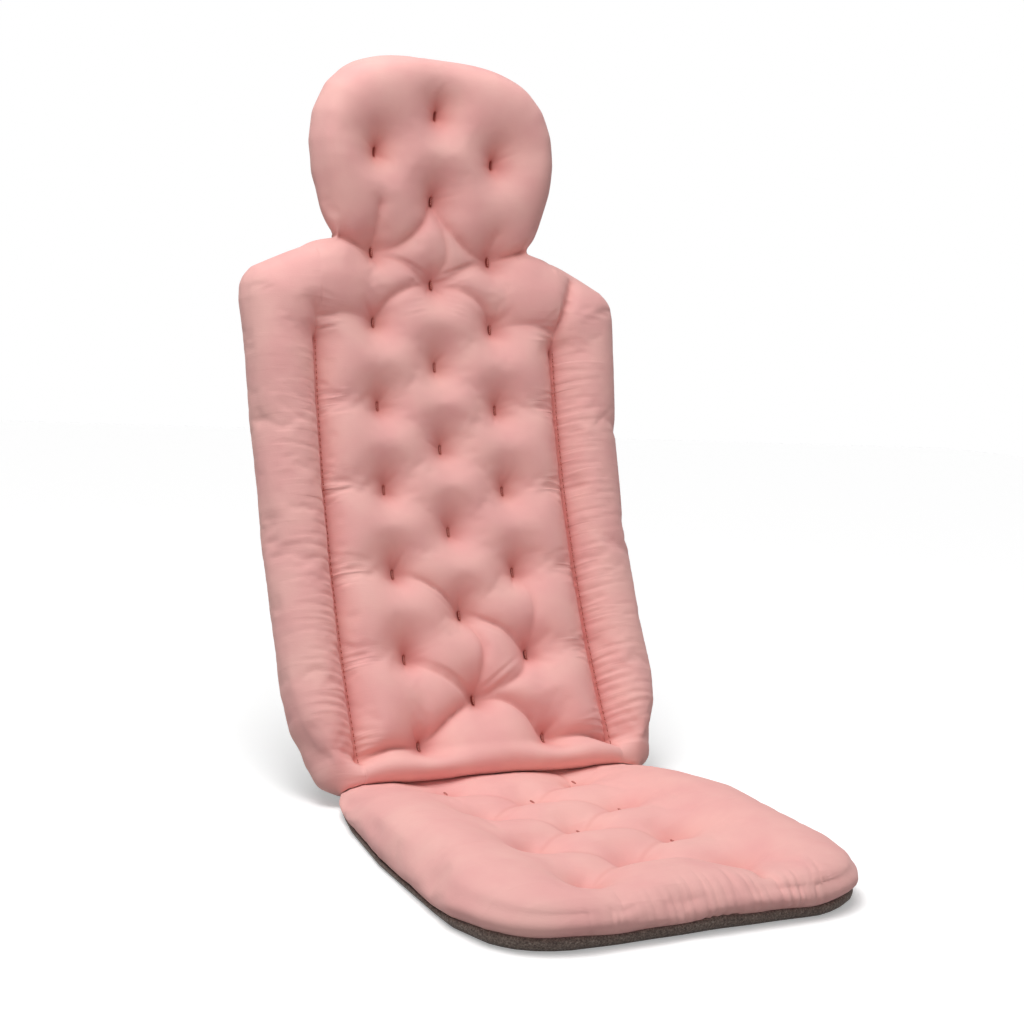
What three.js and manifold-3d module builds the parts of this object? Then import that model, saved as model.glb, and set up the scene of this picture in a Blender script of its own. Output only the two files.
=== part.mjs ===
// Full body bath cushion: a tufted seat pad, a tufted back with two side bolsters, and a head pad.
// Millimetres, +Z up. X runs across the cushion, the seat points to -Y, the back rises at +Y.
// Flat places: s is measured along the cushion from the fold (the seat is negative),
// h is measured up from the outer face of the grey backing, towards the bather.

import * as THREE from "three";
import Module from "manifold-3d";

const wasm = await Module();
wasm.setup();

// Lie of the cushion
const RECLINE_DEG = 36.2;
const BACK_BEND_RADIUS = 1100;

// Lengths along the cushion
const SEAT_DEPTH = 372;
const NECK_AT = 546;
const HEAD_LENGTH = 182;
const SHOULDER_TIP_AT = 500;

// Half widths
const SEAT_HALF_WIDTH = 174;
const BACK_HALF_WIDTH = 190;
const SHOULDER_HALF_WIDTH = 202;
const NECK_HALF_WIDTH = 108;
const HEAD_HALF_WIDTH = 131;
const PANEL_HALF_WIDTH = 129;
const YOKE_HALF_WIDTH = 152;

// Heights above the outer face of the backing
const SEAT_CROWN = 42;
const SEAT_REAR_CROWN = 16;
const SEAT_RISE_LENGTH = 170;
const BACK_CROWN = 54;
const BOLSTER_CROWN = 62;
const HEAD_CROWN = 60;
const SEAM_HEIGHT = 9;

// Cloth, thread and clearances
const COVER_THICKNESS = 1.6;
const BACKING_THICKNESS = 2.4;
const CLEARANCE = 0.3;
const FILLING_LIFT = 0.9;
const FILLING_INSET = 2.2;
const FILLING_GAP = 1;
const COVER_LIFT = 0.6;
const SEAM_CORD_RADIUS = 1.5;
const STITCH_THICKNESS = 1.2;
const STITCH_HEIGHT = 8;
const STITCH_FROM = 12;
const RIM_INSET = 5;
const COVER_CORNER_SHARE = 0.6;
const FILLING_CORNER_SHARE = 1.9;

// Lines of the pads between and beside the tuft columns, as shares of the column spacing
const INNER_COLUMNS = [1 / 3, 2 / 3, 1];
const SEAT_COLUMNS = [...INNER_COLUMNS, 1.5, 2.1];
const BACK_COLUMNS = [...INNER_COLUMNS, 1.27];
const HEAD_COLUMNS = [...INNER_COLUMNS, 1.45];

// Tufts: one staggered lattice, with the side columns half a pitch off the centre column
const TUFT_PITCH = 85.5;
const TUFT_COLUMN = 64;
const FIRST_SIDE_TUFT = 33;
const NECK_TUFT_DROP = 14;
const YOKE_ROWS = 19;
const BOLSTER_ROWS = 14;
const STITCH_ROWS = 10;
const TUFT_REACH = 17;
const TUFT_DEPTH_SHARE = 0.84;
const GATHER_REACH = 30;
const GATHER_SHARE = 0.3;
const TIE_LENGTH = 15;
const TIE_WIDTH = 3;
const TIE_BAR = 1.1;
const TIE_WEB_LENGTH = 12;
const TIE_WEB_WIDTH = 1.2;
const TIE_PROUD = 3;
const TIE_RECESS = 0.2;

// Outlines: [distance from the fold or neck, half width]
const SEAT_OUTLINE = [[0, 124], [8, 138], [20, 149], [45, 160], [90, 168], [170, 174],
  [300, 171], [335, 162], [355, 148], [366, 131], [372, 108]];
const BACK_OUTLINE = [[0, 152], [12, 165], [30, 177], [55, 186], [90, 189], [250, 191],
  [350, 194], [450, 199], [500, 202], [546, 108]];
const HEAD_OUTLINE = [[0, 108], [25, 118], [60, 128], [90, 131], [120, 128], [145, 116],
  [164, 98], [174, 76], [177, 66], [182, 32]];
const EDGE_ZONE = 20;

// Edge profiles: [inset from the outline, share of the rise from the seam to the crown,
// inset at the seam line itself where that differs]
const ROLLED_EDGE = [[RIM_INSET, 0], [0, 0.36, 7], [5, 0.7, 10], [18, 0.94]];
const STITCHED_EDGE = [[0, 0], [2.5, 0.42], [12, 0.76], [30, 0.95]];
const BOLSTER_INNER_EDGE = [[0, 0], [2.5, 0.5], [11, 0.86]];
const BOLSTER_OUTER_EDGE = [[RIM_INSET, 0], [0, 0.36, 7], [5, 0.7, 10], [16, 0.94]];
const SHOULDER_EDGE = [[3, 0], [0, 0.36, 5], [4, 0.7, 9], [16, 0.94]];
const SEAM_GAP = SEAM_CORD_RADIUS + CLEARANCE;
const SEAT_FOLD_EDGE = [[SEAM_GAP, 0], [4.4, 0.4], [9, 0.75], [18, 0.92]];
const BACK_FOLD_EDGE = [[SEAM_GAP, 0], [3.6, 0.22], [8, 0.52], [15, 0.8]];
const BACK_NECK_EDGE = [[SEAM_GAP, 0], [4, 0.4], [11, 0.76], [24, 0.95]];
const HEAD_NECK_EDGE = [[SEAM_GAP, 0], [4, 0.4], [11, 0.76], [22, 0.94]];
const BACKING_EDGE = [[RIM_INSET, 0], [8, 0.6], [14, 1]];
const BACKING_FOLD_EDGE = [[SEAM_GAP, 0], [5, 0.6], [12, 1]];

// Colours
const PINK = 0xf2a79f;
const BACKING_GREY = 0x6e665e;
const FILLING_WHITE = 0xf3f1ea;
const THREAD_PINK = 0xd98c84;
const COVER_ROUGHNESS = 0.85;
const BACKING_ROUGHNESS = 0.95;
const FILLING_ROUGHNESS = 1;
const THREAD_ROUGHNESS = 0.7;
const SEAM_SIDES = 12;
const SLOT_CORNERS = [[-1, -1], [1, -1], [1, 1], [-1, 1]];

const RECLINE = THREE.MathUtils.degToRad(RECLINE_DEG);
const STITCH_GAP = STITCH_THICKNESS / 2 + CLEARANCE;
const HALF_PITCH = TUFT_PITCH / 2;
const ROW_STEP = TUFT_PITCH / 4;
const YOKE_FROM = FIRST_SIDE_TUFT + YOKE_ROWS * ROW_STEP;

const cushion = new THREE.Group();
cushion.name = "full_body_bath_cushion";

// Lean of the back from vertical at s.
function leanAt(s) {
  return RECLINE - s / BACK_BEND_RADIUS;
}

// The flat place (x, s, h) in the part's frame. The seat lies flat; the back follows one arc
// that leaves the fold at the recline angle and grows upright towards the head.
function place(x, s, h, reclined) {
  if (!reclined) {
    return new THREE.Vector3(x, s, h);
  }
  const lean = leanAt(s);
  const along = BACK_BEND_RADIUS * (Math.cos(lean) - Math.cos(RECLINE));
  const up = BACK_BEND_RADIUS * (Math.sin(RECLINE) - Math.sin(lean));
  const rise = h - SEAM_HEIGHT;
  return new THREE.Vector3(x, along - rise * Math.cos(lean), SEAM_HEIGHT + up + rise * Math.sin(lean));
}

// The frame at a flat place: across, along and outwards, for pieces that lie on the cushion.
function frameAt(x, s, h, reclined) {
  const lean = reclined ? leanAt(s) : Math.PI / 2;
  const across = new THREE.Vector3(1, 0, 0);
  const along = new THREE.Vector3(0, Math.sin(lean), Math.cos(lean));
  const outward = new THREE.Vector3(0, -Math.cos(lean), Math.sin(lean));
  return new THREE.Matrix4().makeBasis(across, along, outward).setPosition(place(x, s, h, reclined));
}

// Value at a place in a list of [place, value] pairs, straight between them.
function read(list, at) {
  const next = list.findIndex(([from]) => from >= at);
  if (next === 0) {
    return list[0][1];
  }
  if (next < 0) {
    return list[list.length - 1][1];
  }
  const [low, lowValue] = list[next - 1];
  const [high, highValue] = list[next];
  return THREE.MathUtils.lerp(lowValue, highValue, (at - low) / (high - low));
}

// Lines over a panel from one edge to the other: place, share of the rise, place on the seam.
function linesOver(low, lowEdge, inner, high, highEdge, shift = 0) {
  return [
    ...lowEdge.map(([inset, rise, seam = inset]) =>
      ({ at: low + inset + shift, rise, seam: low + seam + shift })),
    ...inner.map((at) => ({ at, rise: 1, seam: at })),
    ...highEdge.map(([inset, rise, seam = inset]) =>
      ({ at: high - inset - shift, rise, seam: high - seam - shift })).reverse(),
  ];
}

// Places along an outline's inner kinks, with more between them wherever they lie far apart.
function alongOutline(outline, first, last, furthest) {
  const kinks = outline.map(([at]) => at).filter((at) => at > first && at < last);
  return kinks.flatMap((at, k) => {
    const span = (kinks[k + 1] ?? at) - at;
    const parts = Math.max(1, Math.ceil(span / furthest));
    return Array.from({ length: parts }, (_, part) => at + span * part / parts);
  });
}

// Evenly stepped places from one to another, both included.
function steps(from, to, step) {
  const count = Math.round((to - from) / step);
  return Array.from({ length: count + 1 }, (_, k) => from + k * step);
}

// The same places on both sides of the middle, in rising order.
function mirrored(places) {
  return [...places.map((at) => -at).reverse(), 0, ...places];
}

// A grid of flat points, rows along the cushion and columns across it. The outline's warp
// moves the straight lines onto the panel's real edges. Where two edges meet, the points on
// the seam keep to the seam line. Each point knows how far it bulges out past the seam.
function flatGrid(columns, rows, warp) {
  return rows.map((row) => columns.map((column) => {
    const point = warp(row.rise === 0 ? column.seam : column.at, column.rise === 0 ? row.seam : row.at);
    const base = warp(column.seam, row.seam);
    return { ...point, outX: point.x - base.x, outS: point.s - base.s, rise: row.rise * column.rise };
  }));
}

// Draws in the roll at the sides of a grid wherever the pad is thin.
function rollAsHigh(grid, shareAt) {
  return grid.map((row) => row.map((point) => {
    const lost = (1 - shareAt(point.s)) * point.outX;
    return { ...point, x: point.x - lost, outX: point.outX - lost };
  }));
}

// Tuft places move the nearest grid point onto the tie and draw its neighbours closer.
function gatherAt(grid, tufts) {
  const inner = grid.slice(1, -1).flatMap((row) => row.slice(1, -1));
  const away = (point, [x, s]) => Math.hypot(point.x - x, point.s - s);
  const centres = tufts.map((tuft) =>
    inner.reduce((best, point) => (away(point, tuft) < away(best, tuft) ? point : best)));
  tufts.forEach(([x, s], k) => Object.assign(centres[k], { x, s, tuft: true }));
  for (const point of inner.filter((each) => !centres.includes(each))) {
    for (const tuft of tufts) {
      const pull = GATHER_SHARE * Math.max(0, 1 - away(point, tuft) / GATHER_REACH);
      point.x += (tuft[0] - point.x) * pull;
      point.s += (tuft[1] - point.s) * pull;
    }
  }
}

// Share of the crown left beside the tufts: each one draws the cover down in a soft funnel.
function tuftShare(x, s, tufts) {
  return tufts.reduce((share, [tx, ts]) =>
    share * (1 - TUFT_DEPTH_SHARE * Math.exp(-Math.hypot(x - tx, s - ts) / TUFT_REACH)), 1);
}

// Lifts a flat grid from the seam line to the tufted crown, and marks which way each cell creases.
function crowned(grid, trayAt, crownAt, tufts) {
  const lifted = grid.map((row) => row.map((point) => {
    const seam = trayAt(point.x, point.s) + COVER_LIFT;
    const rise = (crownAt(point.s) - seam) * point.rise;
    return { ...point, h: seam + rise * tuftShare(point.x, point.s, tufts) };
  }));
  return creased(lifted);
}

// Marks each cell of a grid, at its first corner, with the diagonal that its crease follows.
function creased(grid) {
  return grid.map((row, j) => row.map((point, i) => {
    const cell = [point, row[i + 1], grid[j + 1]?.[i + 1], grid[j + 1]?.[i]];
    return cell.every(Boolean) ? { ...point, straight: splitsStraight(...cell) } : point;
  }));
}

// The surface a distance under a crowned grid. Its edge points move sideways only, by the inset,
// and stay over the backing. A corner moves by no more than a share of its first spacing.
function under(grid, trayAt, distance, inset = distance, cornerShare = COVER_CORNER_SHARE) {
  const last = grid.length - 1;
  const end = grid[0].length - 1;
  return grid.map((row, j) => row.map((point, i) => {
    const inX = i === 0 ? 1 : i === end ? -1 : 0;
    const inS = j === 0 ? 1 : j === last ? -1 : 0;
    if (inX || inS) {
      const roomX = inS ? Math.abs(row[i + inX].x - point.x) : inset / cornerShare;
      const roomS = inX ? Math.abs(grid[j + inS][i].s - point.s) : inset / cornerShare;
      const x = point.x + inX * Math.min(inset, cornerShare * roomX);
      const s = point.s + inS * Math.min(inset, cornerShare * roomS);
      return { ...point, x, s, h: Math.max(point.h, trayAt(x, s) + COVER_LIFT) };
    }
    const across = new THREE.Vector3(row[i + 1].x - row[i - 1].x, row[i + 1].s - row[i - 1].s,
      row[i + 1].h - row[i - 1].h);
    const along = new THREE.Vector3(grid[j + 1][i].x - grid[j - 1][i].x,
      grid[j + 1][i].s - grid[j - 1][i].s, grid[j + 1][i].h - grid[j - 1][i].h);
    const out = across.cross(along).normalize();
    if (point.tuft) {
      out.set(0, 0, 1);
    }
    return {
      ...point,
      x: point.x - out.x * distance,
      s: point.s - out.y * distance,
      h: point.h - out.z * distance,
    };
  }));
}

// The closed body between two grids of the same size, the first of them creased.
// At a tuft the body has a slot for the tie.
function bodyBetween(top, bottom, reclined) {
  const rows = top.length;
  const columns = top[0].length;
  const layer = rows * columns;
  const points = [...top, ...bottom].flat();
  const slots = new Map();
  points.slice().forEach(({ x, s, h, tuft }, k) => {
    if (tuft) {
      slots.set(k, SLOT_CORNERS.map(([u, v]) => {
        const across = u * (TIE_WEB_WIDTH / 2 + CLEARANCE);
        const along = v * (TIE_WEB_LENGTH / 2 + CLEARANCE);
        return points.push({ x: x + across, s: s + along, h }) - 1;
      }));
    }
  });
  const at = (j, i) => j * columns + i;
  const corner = (k, which) => (slots.has(k) ? slots.get(k)[which] : k);
  const faces = [];
  for (let j = 0; j < rows - 1; j++) {
    for (let i = 0; i < columns - 1; i++) {
      const { straight } = top[j][i];
      for (const down of [0, layer]) {
        const a = corner(at(j, i) + down, 2);
        const b = corner(at(j, i + 1) + down, 3);
        const c = corner(at(j + 1, i + 1) + down, 0);
        const d = corner(at(j + 1, i) + down, 1);
        const halves = straight ? [[a, b, c], [a, c, d]] : [[a, b, d], [b, c, d]];
        halves.forEach(([p, q, r]) => faces.push(...(down ? [p, r, q] : [p, q, r])));
      }
    }
  }
  for (const [k, slot] of slots) {
    const next = [k - columns, k + 1, k + columns, k - 1];
    const down = k >= layer;
    next.forEach((beside, side) => {
      const [p, q] = [slot[side], slot[(side + 1) % 4]];
      faces.push(...(down ? [p, q, beside] : [p, beside, q]));
      if (!down) {
        const under = slots.get(k + layer);
        const [r, t] = [under[side], under[(side + 1) % 4]];
        faces.push(p, q, t, p, t, r);
      }
    });
  }
  const rim = [
    ...Array.from({ length: columns }, (_, i) => at(0, i)),
    ...Array.from({ length: rows - 1 }, (_, j) => at(j + 1, columns - 1)),
    ...Array.from({ length: columns - 1 }, (_, i) => at(rows - 1, columns - 2 - i)),
    ...Array.from({ length: rows - 2 }, (_, j) => at(rows - 2 - j, 0)),
  ];
  rim.forEach((from, k) => {
    const to = rim[(k + 1) % rim.length];
    faces.push(layer + from, layer + to, to, layer + from, to, from);
  });
  const placed = points.map(({ x, s, h }) => place(x, s, h, reclined));
  return new THREE.BufferGeometry().setFromPoints(placed).setIndex(faces);
}

// Whether a cell's crease joins its first and third corners: it runs to a tuft, or else along
// the lower diagonal, and level cells crease the same way on both sides of the middle.
function splitsStraight(a, b, c, d) {
  if (a.tuft || c.tuft) {
    return true;
  }
  const fold = b.h + d.h - a.h - c.h;
  const level = Math.abs(fold) < CLEARANCE;
  return !(b.tuft || d.tuft) && (level ? a.x + c.x > 0 : fold > 0);
}

// A geometry as a manifold-3d solid.
function solidOf(geometry) {
  return new wasm.Manifold(new wasm.Mesh({
    numProp: 3,
    vertProperties: new Float32Array(geometry.getAttribute("position").array),
    triVerts: new Uint32Array(geometry.getIndex().array),
  }));
}

// A manifold-3d solid as a geometry.
function geometryOf(solid) {
  const mesh = solid.getMesh();
  return new THREE.BufferGeometry()
    .setAttribute("position", new THREE.BufferAttribute(new Float32Array(mesh.vertProperties), 3))
    .setIndex(new THREE.BufferAttribute(new Uint32Array(mesh.triVerts), 1));
}

// A box on the cushion between two heights, centred on a tuft place.
function boxAt([x, s], width, length, low, high, reclined) {
  const box = new THREE.BoxGeometry(width, length, high - low);
  box.deleteAttribute("normal");
  box.deleteAttribute("uv");
  const merged = mergeBox(box);
  return solidOf(merged.applyMatrix4(frameAt(x, s, (low + high) / 2, reclined)));
}

// A box's eight corners, each kept once.
function mergeBox(box) {
  const at = box.getAttribute("position");
  const corners = [];
  const index = Array.from(box.getIndex().array, (k) => {
    const corner = new THREE.Vector3().fromBufferAttribute(at, k);
    const known = corners.findIndex((each) => each.distanceToSquared(corner) < CLEARANCE ** 2);
    return known < 0 ? corners.push(corner) - 1 : known;
  });
  return new THREE.BufferGeometry().setFromPoints(corners).setIndex(index);
}

// A named mesh with its own material.
function add(name, geometry, colour, roughness) {
  const material = new THREE.MeshStandardMaterial({ color: colour, roughness, metalness: 0 });
  const mesh = new THREE.Mesh(geometry, material);
  mesh.name = name;
  mesh.geometry.computeVertexNormals();
  cushion.add(mesh);
}

// Height of the cover over a tuft place.
function heightAt(grid, [x, s]) {
  return grid.flat().find((point) => point.x === x && point.s === s).h;
}

// One tie: a web of thread up through the pad to just over the cover, and a bar sunk in the backing.
function tie(tuft, pit, reclined) {
  const rear = TIE_RECESS + TIE_BAR;
  const web = boxAt(tuft, TIE_WEB_WIDTH, TIE_WEB_LENGTH, rear - TIE_RECESS, pit + TIE_PROUD, reclined);
  const bar = boxAt(tuft, TIE_WIDTH, TIE_LENGTH, TIE_RECESS, rear, reclined);
  return web.add(bar);
}

// The slot that a tie's web takes through the pad, and the pocket for its bar.
function tieSlot(tuft, reclined) {
  const around = 2 * CLEARANCE;
  return boxAt(tuft, TIE_WEB_WIDTH + around, TIE_WEB_LENGTH + around, -BACK_CROWN, BACK_CROWN, reclined);
}

function tiePocket(tuft, reclined) {
  const around = 2 * CLEARANCE;
  return boxAt(tuft, TIE_WIDTH + around, TIE_LENGTH + around, -SEAM_HEIGHT,
    TIE_RECESS + TIE_BAR + CLEARANCE, reclined);
}

// Height of the backing's inner face: a shallow tray that rises to the seam at its rim.
function trayFace(edgeShare) {
  return THREE.MathUtils.lerp(SEAM_HEIGHT, BACKING_THICKNESS, edgeShare);
}

// A grid without the lines that bulge at its edges, and, where it has tufts, without the lines
// between them that pass through none. Kinked rows stay.
function thinned(grid, kinks) {
  const isKept = (hasTuft, k) => {
    const isBulge = k === 1 || k === hasTuft.length - 2;
    const isBetween = k > hasTuft.indexOf(true) && k < hasTuft.lastIndexOf(true);
    return !isBulge && (hasTuft[k] || !isBetween);
  };
  const inRows = grid.map((row) => row.some((point) => point.tuft) || kinks.includes(row[0].s));
  const inColumns = grid[0].map((_, i) => grid.some((row) => row[i].tuft));
  return creased(grid
    .filter((_, j) => isKept(inRows, j))
    .map((row) => row.filter((_, i) => isKept(inColumns, i))));
}

// The loose filling of a pad: under its cover, over its backing.
function fillingBody(coverGrid, trayAt, kinks, reclined) {
  const inner = under(coverGrid, trayAt, COVER_THICKNESS + FILLING_GAP, COVER_THICKNESS + FILLING_INSET,
    FILLING_CORNER_SHARE);
  const top = thinned(inner, kinks);
  const last = top.length - 1;
  const end = top[0].length - 1;
  const bottom = top.map((row) => row.map((point) => {
    const x = point.x - point.outX;
    const s = point.s - point.outS;
    const reach = point.tuft ? TIE_WEB_LENGTH / 2 : SEAM_GAP;
    const tray = Math.max(trayAt(x, s - reach), trayAt(x, s + reach));
    return { ...point, x, s, h: tray + FILLING_LIFT };
  }));
  const raised = top.map((row, j) => row.map((point, i) =>
    (j === 0 || j === last || i === 0 || i === end
      ? { ...point, h: bottom[j][i].h + CLEARANCE }
      : point)));
  return bodyBetween(raised, bottom, reclined);
}

// Moves a straight panel's lines so that its sides follow a half width along s. The core
// stays, the edge zone keeps its profile, and the lines between them spread or close up.
function sideWarp(nominal, core, halfAt) {
  return (x, s) => {
    const out = Math.abs(x);
    const half = halfAt(s);
    const zone = nominal - EDGE_ZONE;
    if (out <= core) {
      return x;
    }
    if (out >= zone) {
      return Math.sign(x) * (out + half - nominal);
    }
    return Math.sign(x) * (core + (out - core) * (half - EDGE_ZONE - core) / (zone - core));
  };
}

// Half width of each outline along s, and of the seam between the back panel and a bolster.
const seatHalf = (s) => read(SEAT_OUTLINE, -s);
const backHalf = (s) => read(BACK_OUTLINE, s);
const headHalf = (s) => read(HEAD_OUTLINE, s - NECK_AT);

function seamHalf(s) {
  const end = shoulderLine(YOKE_HALF_WIDTH);
  const share = Math.max(0, (s - YOKE_FROM) / (end - YOKE_FROM));
  return PANEL_HALF_WIDTH + (YOKE_HALF_WIDTH - PANEL_HALF_WIDTH) * share;
}

// Upper edge of the back: straight over the neck, then sloping down to the shoulder tips.
function shoulderLine(x) {
  const slope = (NECK_AT - SHOULDER_TIP_AT) / (SHOULDER_HALF_WIDTH - NECK_HALF_WIDTH);
  return NECK_AT - slope * Math.max(0, Math.abs(x) - NECK_HALF_WIDTH);
}

// Rows above the yoke line close up so that the last one lies on the shoulder line.
function shoulderWarp(x, s, top) {
  if (s <= YOKE_FROM) {
    return s;
  }
  return YOKE_FROM + (s - YOKE_FROM) * (shoulderLine(x) - YOKE_FROM) / (top - YOKE_FROM);
}

// Height of the backing's inner face under each pad.
function seatTray(x, s) {
  const side = read(BACKING_EDGE, seatHalf(s) - Math.abs(x) - BACKING_THICKNESS);
  const fold = read(BACKING_FOLD_EDGE, -s - BACKING_THICKNESS);
  const front = read(BACKING_EDGE, SEAT_DEPTH + s - BACKING_THICKNESS);
  return trayFace(side * fold * front);
}

function backTray(x, s) {
  const side = read(BACKING_EDGE, backHalf(s) - Math.abs(x) - BACKING_THICKNESS);
  const fold = read(BACKING_FOLD_EDGE, s - BACKING_THICKNESS);
  const neck = read(BACKING_FOLD_EDGE, NECK_AT - s - BACKING_THICKNESS);
  return trayFace(side * fold * neck);
}

function headTray(x, s) {
  const side = read(BACKING_EDGE, headHalf(s) - Math.abs(x) - BACKING_THICKNESS);
  const neck = read(BACKING_FOLD_EDGE, s - NECK_AT - BACKING_THICKNESS);
  const top = read(BACKING_EDGE, NECK_AT + HEAD_LENGTH - s - BACKING_THICKNESS);
  return trayFace(side * neck * top);
}

// Height of each pad's crown. The seat is thin near the fold, where the lower back bulges over it.
function seatCrown(s) {
  return read([[0, SEAT_REAR_CROWN], [SEAT_RISE_LENGTH, SEAT_CROWN]], -s);
}

const backCrown = () => BACK_CROWN;
const bolsterCrown = () => BOLSTER_CROWN;
const headCrown = () => HEAD_CROWN;

// Tuft places of each pad.
function lattice(from, to) {
  const first = Math.ceil((from - FIRST_SIDE_TUFT) / HALF_PITCH);
  const last = Math.floor((to - FIRST_SIDE_TUFT) / HALF_PITCH);
  return Array.from({ length: last - first + 1 }, (_, k) => first + k).flatMap((row) => {
    const s = FIRST_SIDE_TUFT + row * HALF_PITCH;
    return row % 2 === 0 ? [[-TUFT_COLUMN, s], [TUFT_COLUMN, s]] : [[0, s]];
  });
}

const seatTufts = lattice(HALF_PITCH - SEAT_DEPTH, -HALF_PITCH);
const neckTufts = [-TUFT_COLUMN, TUFT_COLUMN].map((x) => [x, NECK_AT - NECK_TUFT_DROP]);
const backTufts = [...lattice(0, NECK_AT - HALF_PITCH / 2), ...neckTufts];
const headTufts = lattice(NECK_AT + HALF_PITCH / 2, NECK_AT + HEAD_LENGTH - HALF_PITCH);

// Columns on both sides of the middle, from their shares of the tuft column.
function columnsAt(shares) {
  return mirrored(shares.map((share) => share * TUFT_COLUMN));
}

// Seat cover.
function seatGrid() {
  const edge = ROLLED_EDGE;
  const columns = linesOver(-SEAT_HALF_WIDTH, edge, columnsAt(SEAT_COLUMNS), SEAT_HALF_WIDTH, edge);
  const first = seatTufts[0][1] - ROW_STEP;
  const last = seatTufts[seatTufts.length - 1][1] + ROW_STEP;
  const rows = linesOver(-SEAT_DEPTH, edge, steps(first, last, ROW_STEP), 0, SEAT_FOLD_EDGE);
  const side = sideWarp(SEAT_HALF_WIDTH, TUFT_COLUMN, seatHalf);
  const full = flatGrid(columns, rows, (x, s) => ({ x: side(x, s), s }));
  const grid = rollAsHigh(full, (s) => (seatCrown(s) - SEAM_HEIGHT) / (SEAT_CROWN - SEAM_HEIGHT));
  gatherAt(grid, seatTufts);
  return crowned(grid, seatTray, seatCrown, seatTufts);
}

// Back cover, between the two bolster seams, with the yoke over the shoulders.
function backGrid() {
  const side = (s) => seamHalf(s) - STITCH_GAP;
  const nominal = PANEL_HALF_WIDTH - STITCH_GAP;
  const columns = linesOver(-nominal, STITCHED_EDGE, columnsAt(BACK_COLUMNS), nominal, STITCHED_EDGE);
  const top = NECK_AT - HALF_PITCH + ROW_STEP / 2;
  const rows = linesOver(0, BACK_FOLD_EDGE, steps(FIRST_SIDE_TUFT, top, ROW_STEP), NECK_AT, BACK_NECK_EDGE);
  const warpX = sideWarp(nominal, TUFT_COLUMN, side);
  const grid = flatGrid(columns, rows, (x, s) => {
    const first = warpX(x, shoulderWarp(x, s, NECK_AT));
    const along = shoulderWarp(first, s, NECK_AT);
    return { x: warpX(x, along), s: along };
  });
  gatherAt(grid, backTufts);
  return crowned(grid, backTray, backCrown, backTufts);
}

// A bolster's cover, from the stitched seam to the outer edge. Side is -1 or 1.
function bolsterGrid(side) {
  const width = BACK_HALF_WIDTH - PANEL_HALF_WIDTH;
  const columns = linesOver(0, BOLSTER_INNER_EDGE, [width / 2], width, BOLSTER_OUTER_EDGE);
  const level = steps(FIRST_SIDE_TUFT, YOKE_FROM, (YOKE_FROM - FIRST_SIDE_TUFT) / BOLSTER_ROWS);
  const rows = linesOver(0, BACK_FOLD_EDGE, [...level, YOKE_FROM + ROW_STEP], SHOULDER_TIP_AT, SHOULDER_EDGE);
  const grid = flatGrid(columns, rows, (x, s) => {
    const across = (at) => {
      const seam = seamHalf(at) + STITCH_GAP;
      return seam + (x / width) * (backHalf(Math.min(at, SHOULDER_TIP_AT)) - seam);
    };
    const along = shoulderWarp(across(s), s, SHOULDER_TIP_AT);
    return { x: side * across(along), s: along };
  });
  const ordered = side < 0 ? grid.map((row) => [...row].reverse()) : grid;
  return crowned(ordered, backTray, bolsterCrown, []);
}

// Head cover.
function headGrid() {
  const edge = ROLLED_EDGE;
  const columns = linesOver(-HEAD_HALF_WIDTH, edge, columnsAt(HEAD_COLUMNS), HEAD_HALF_WIDTH, edge);
  const inner = steps(headTufts[0][1], headTufts[headTufts.length - 1][1] + ROW_STEP, ROW_STEP);
  const rows = linesOver(NECK_AT, HEAD_NECK_EDGE, inner, NECK_AT + HEAD_LENGTH, edge);
  const side = sideWarp(HEAD_HALF_WIDTH, 0, headHalf);
  const grid = flatGrid(columns, rows, (x, s) => ({ x: side(x, s), s }));
  gatherAt(grid, headTufts);
  return crowned(grid, headTray, headCrown, headTufts);
}

// A backing tray: its inner face, and its outer face one thickness further out.
function trayBody(linesAt, warp, reclined) {
  const face = (shift, low) => {
    const { columns, rows } = linesAt(shift);
    return creased(flatGrid(columns, rows, warp).map((row) =>
      row.map(({ x, s, rise }) => ({ x, s, h: THREE.MathUtils.lerp(SEAM_HEIGHT, low, rise) }))));
  };
  return bodyBetween(face(BACKING_THICKNESS, BACKING_THICKNESS), face(0, 0), reclined);
}

function trayColumns(half, shift) {
  return linesOver(-half, BACKING_EDGE, mirrored([TUFT_COLUMN]), half, BACKING_EDGE, shift);
}

function seatBacking() {
  const side = sideWarp(SEAT_HALF_WIDTH, TUFT_COLUMN, seatHalf);
  const margin = EDGE_ZONE - RIM_INSET;
  const kinks = alongOutline(SEAT_OUTLINE, margin, SEAT_DEPTH - margin, SEAT_DEPTH);
  const rows = kinks.map((at) => -at).reverse();
  return trayBody((shift) => ({
    columns: trayColumns(SEAT_HALF_WIDTH, shift),
    rows: linesOver(-SEAT_DEPTH, BACKING_EDGE, rows, 0, BACKING_FOLD_EDGE, shift),
  }), (x, s) => ({ x: side(x, s), s }), false);
}

function backBacking() {
  const side = sideWarp(BACK_HALF_WIDTH, TUFT_COLUMN, backHalf);
  const rows = [...alongOutline(BACK_OUTLINE, EDGE_ZONE, NECK_AT - EDGE_ZONE, HALF_PITCH),
    (SHOULDER_TIP_AT + NECK_AT) / 2];
  return trayBody((shift) => ({
    columns: trayColumns(BACK_HALF_WIDTH, shift),
    rows: linesOver(0, BACKING_FOLD_EDGE, rows, NECK_AT, BACKING_FOLD_EDGE, shift),
  }), (x, s) => ({ x: side(x, s), s }), true);
}

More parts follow.
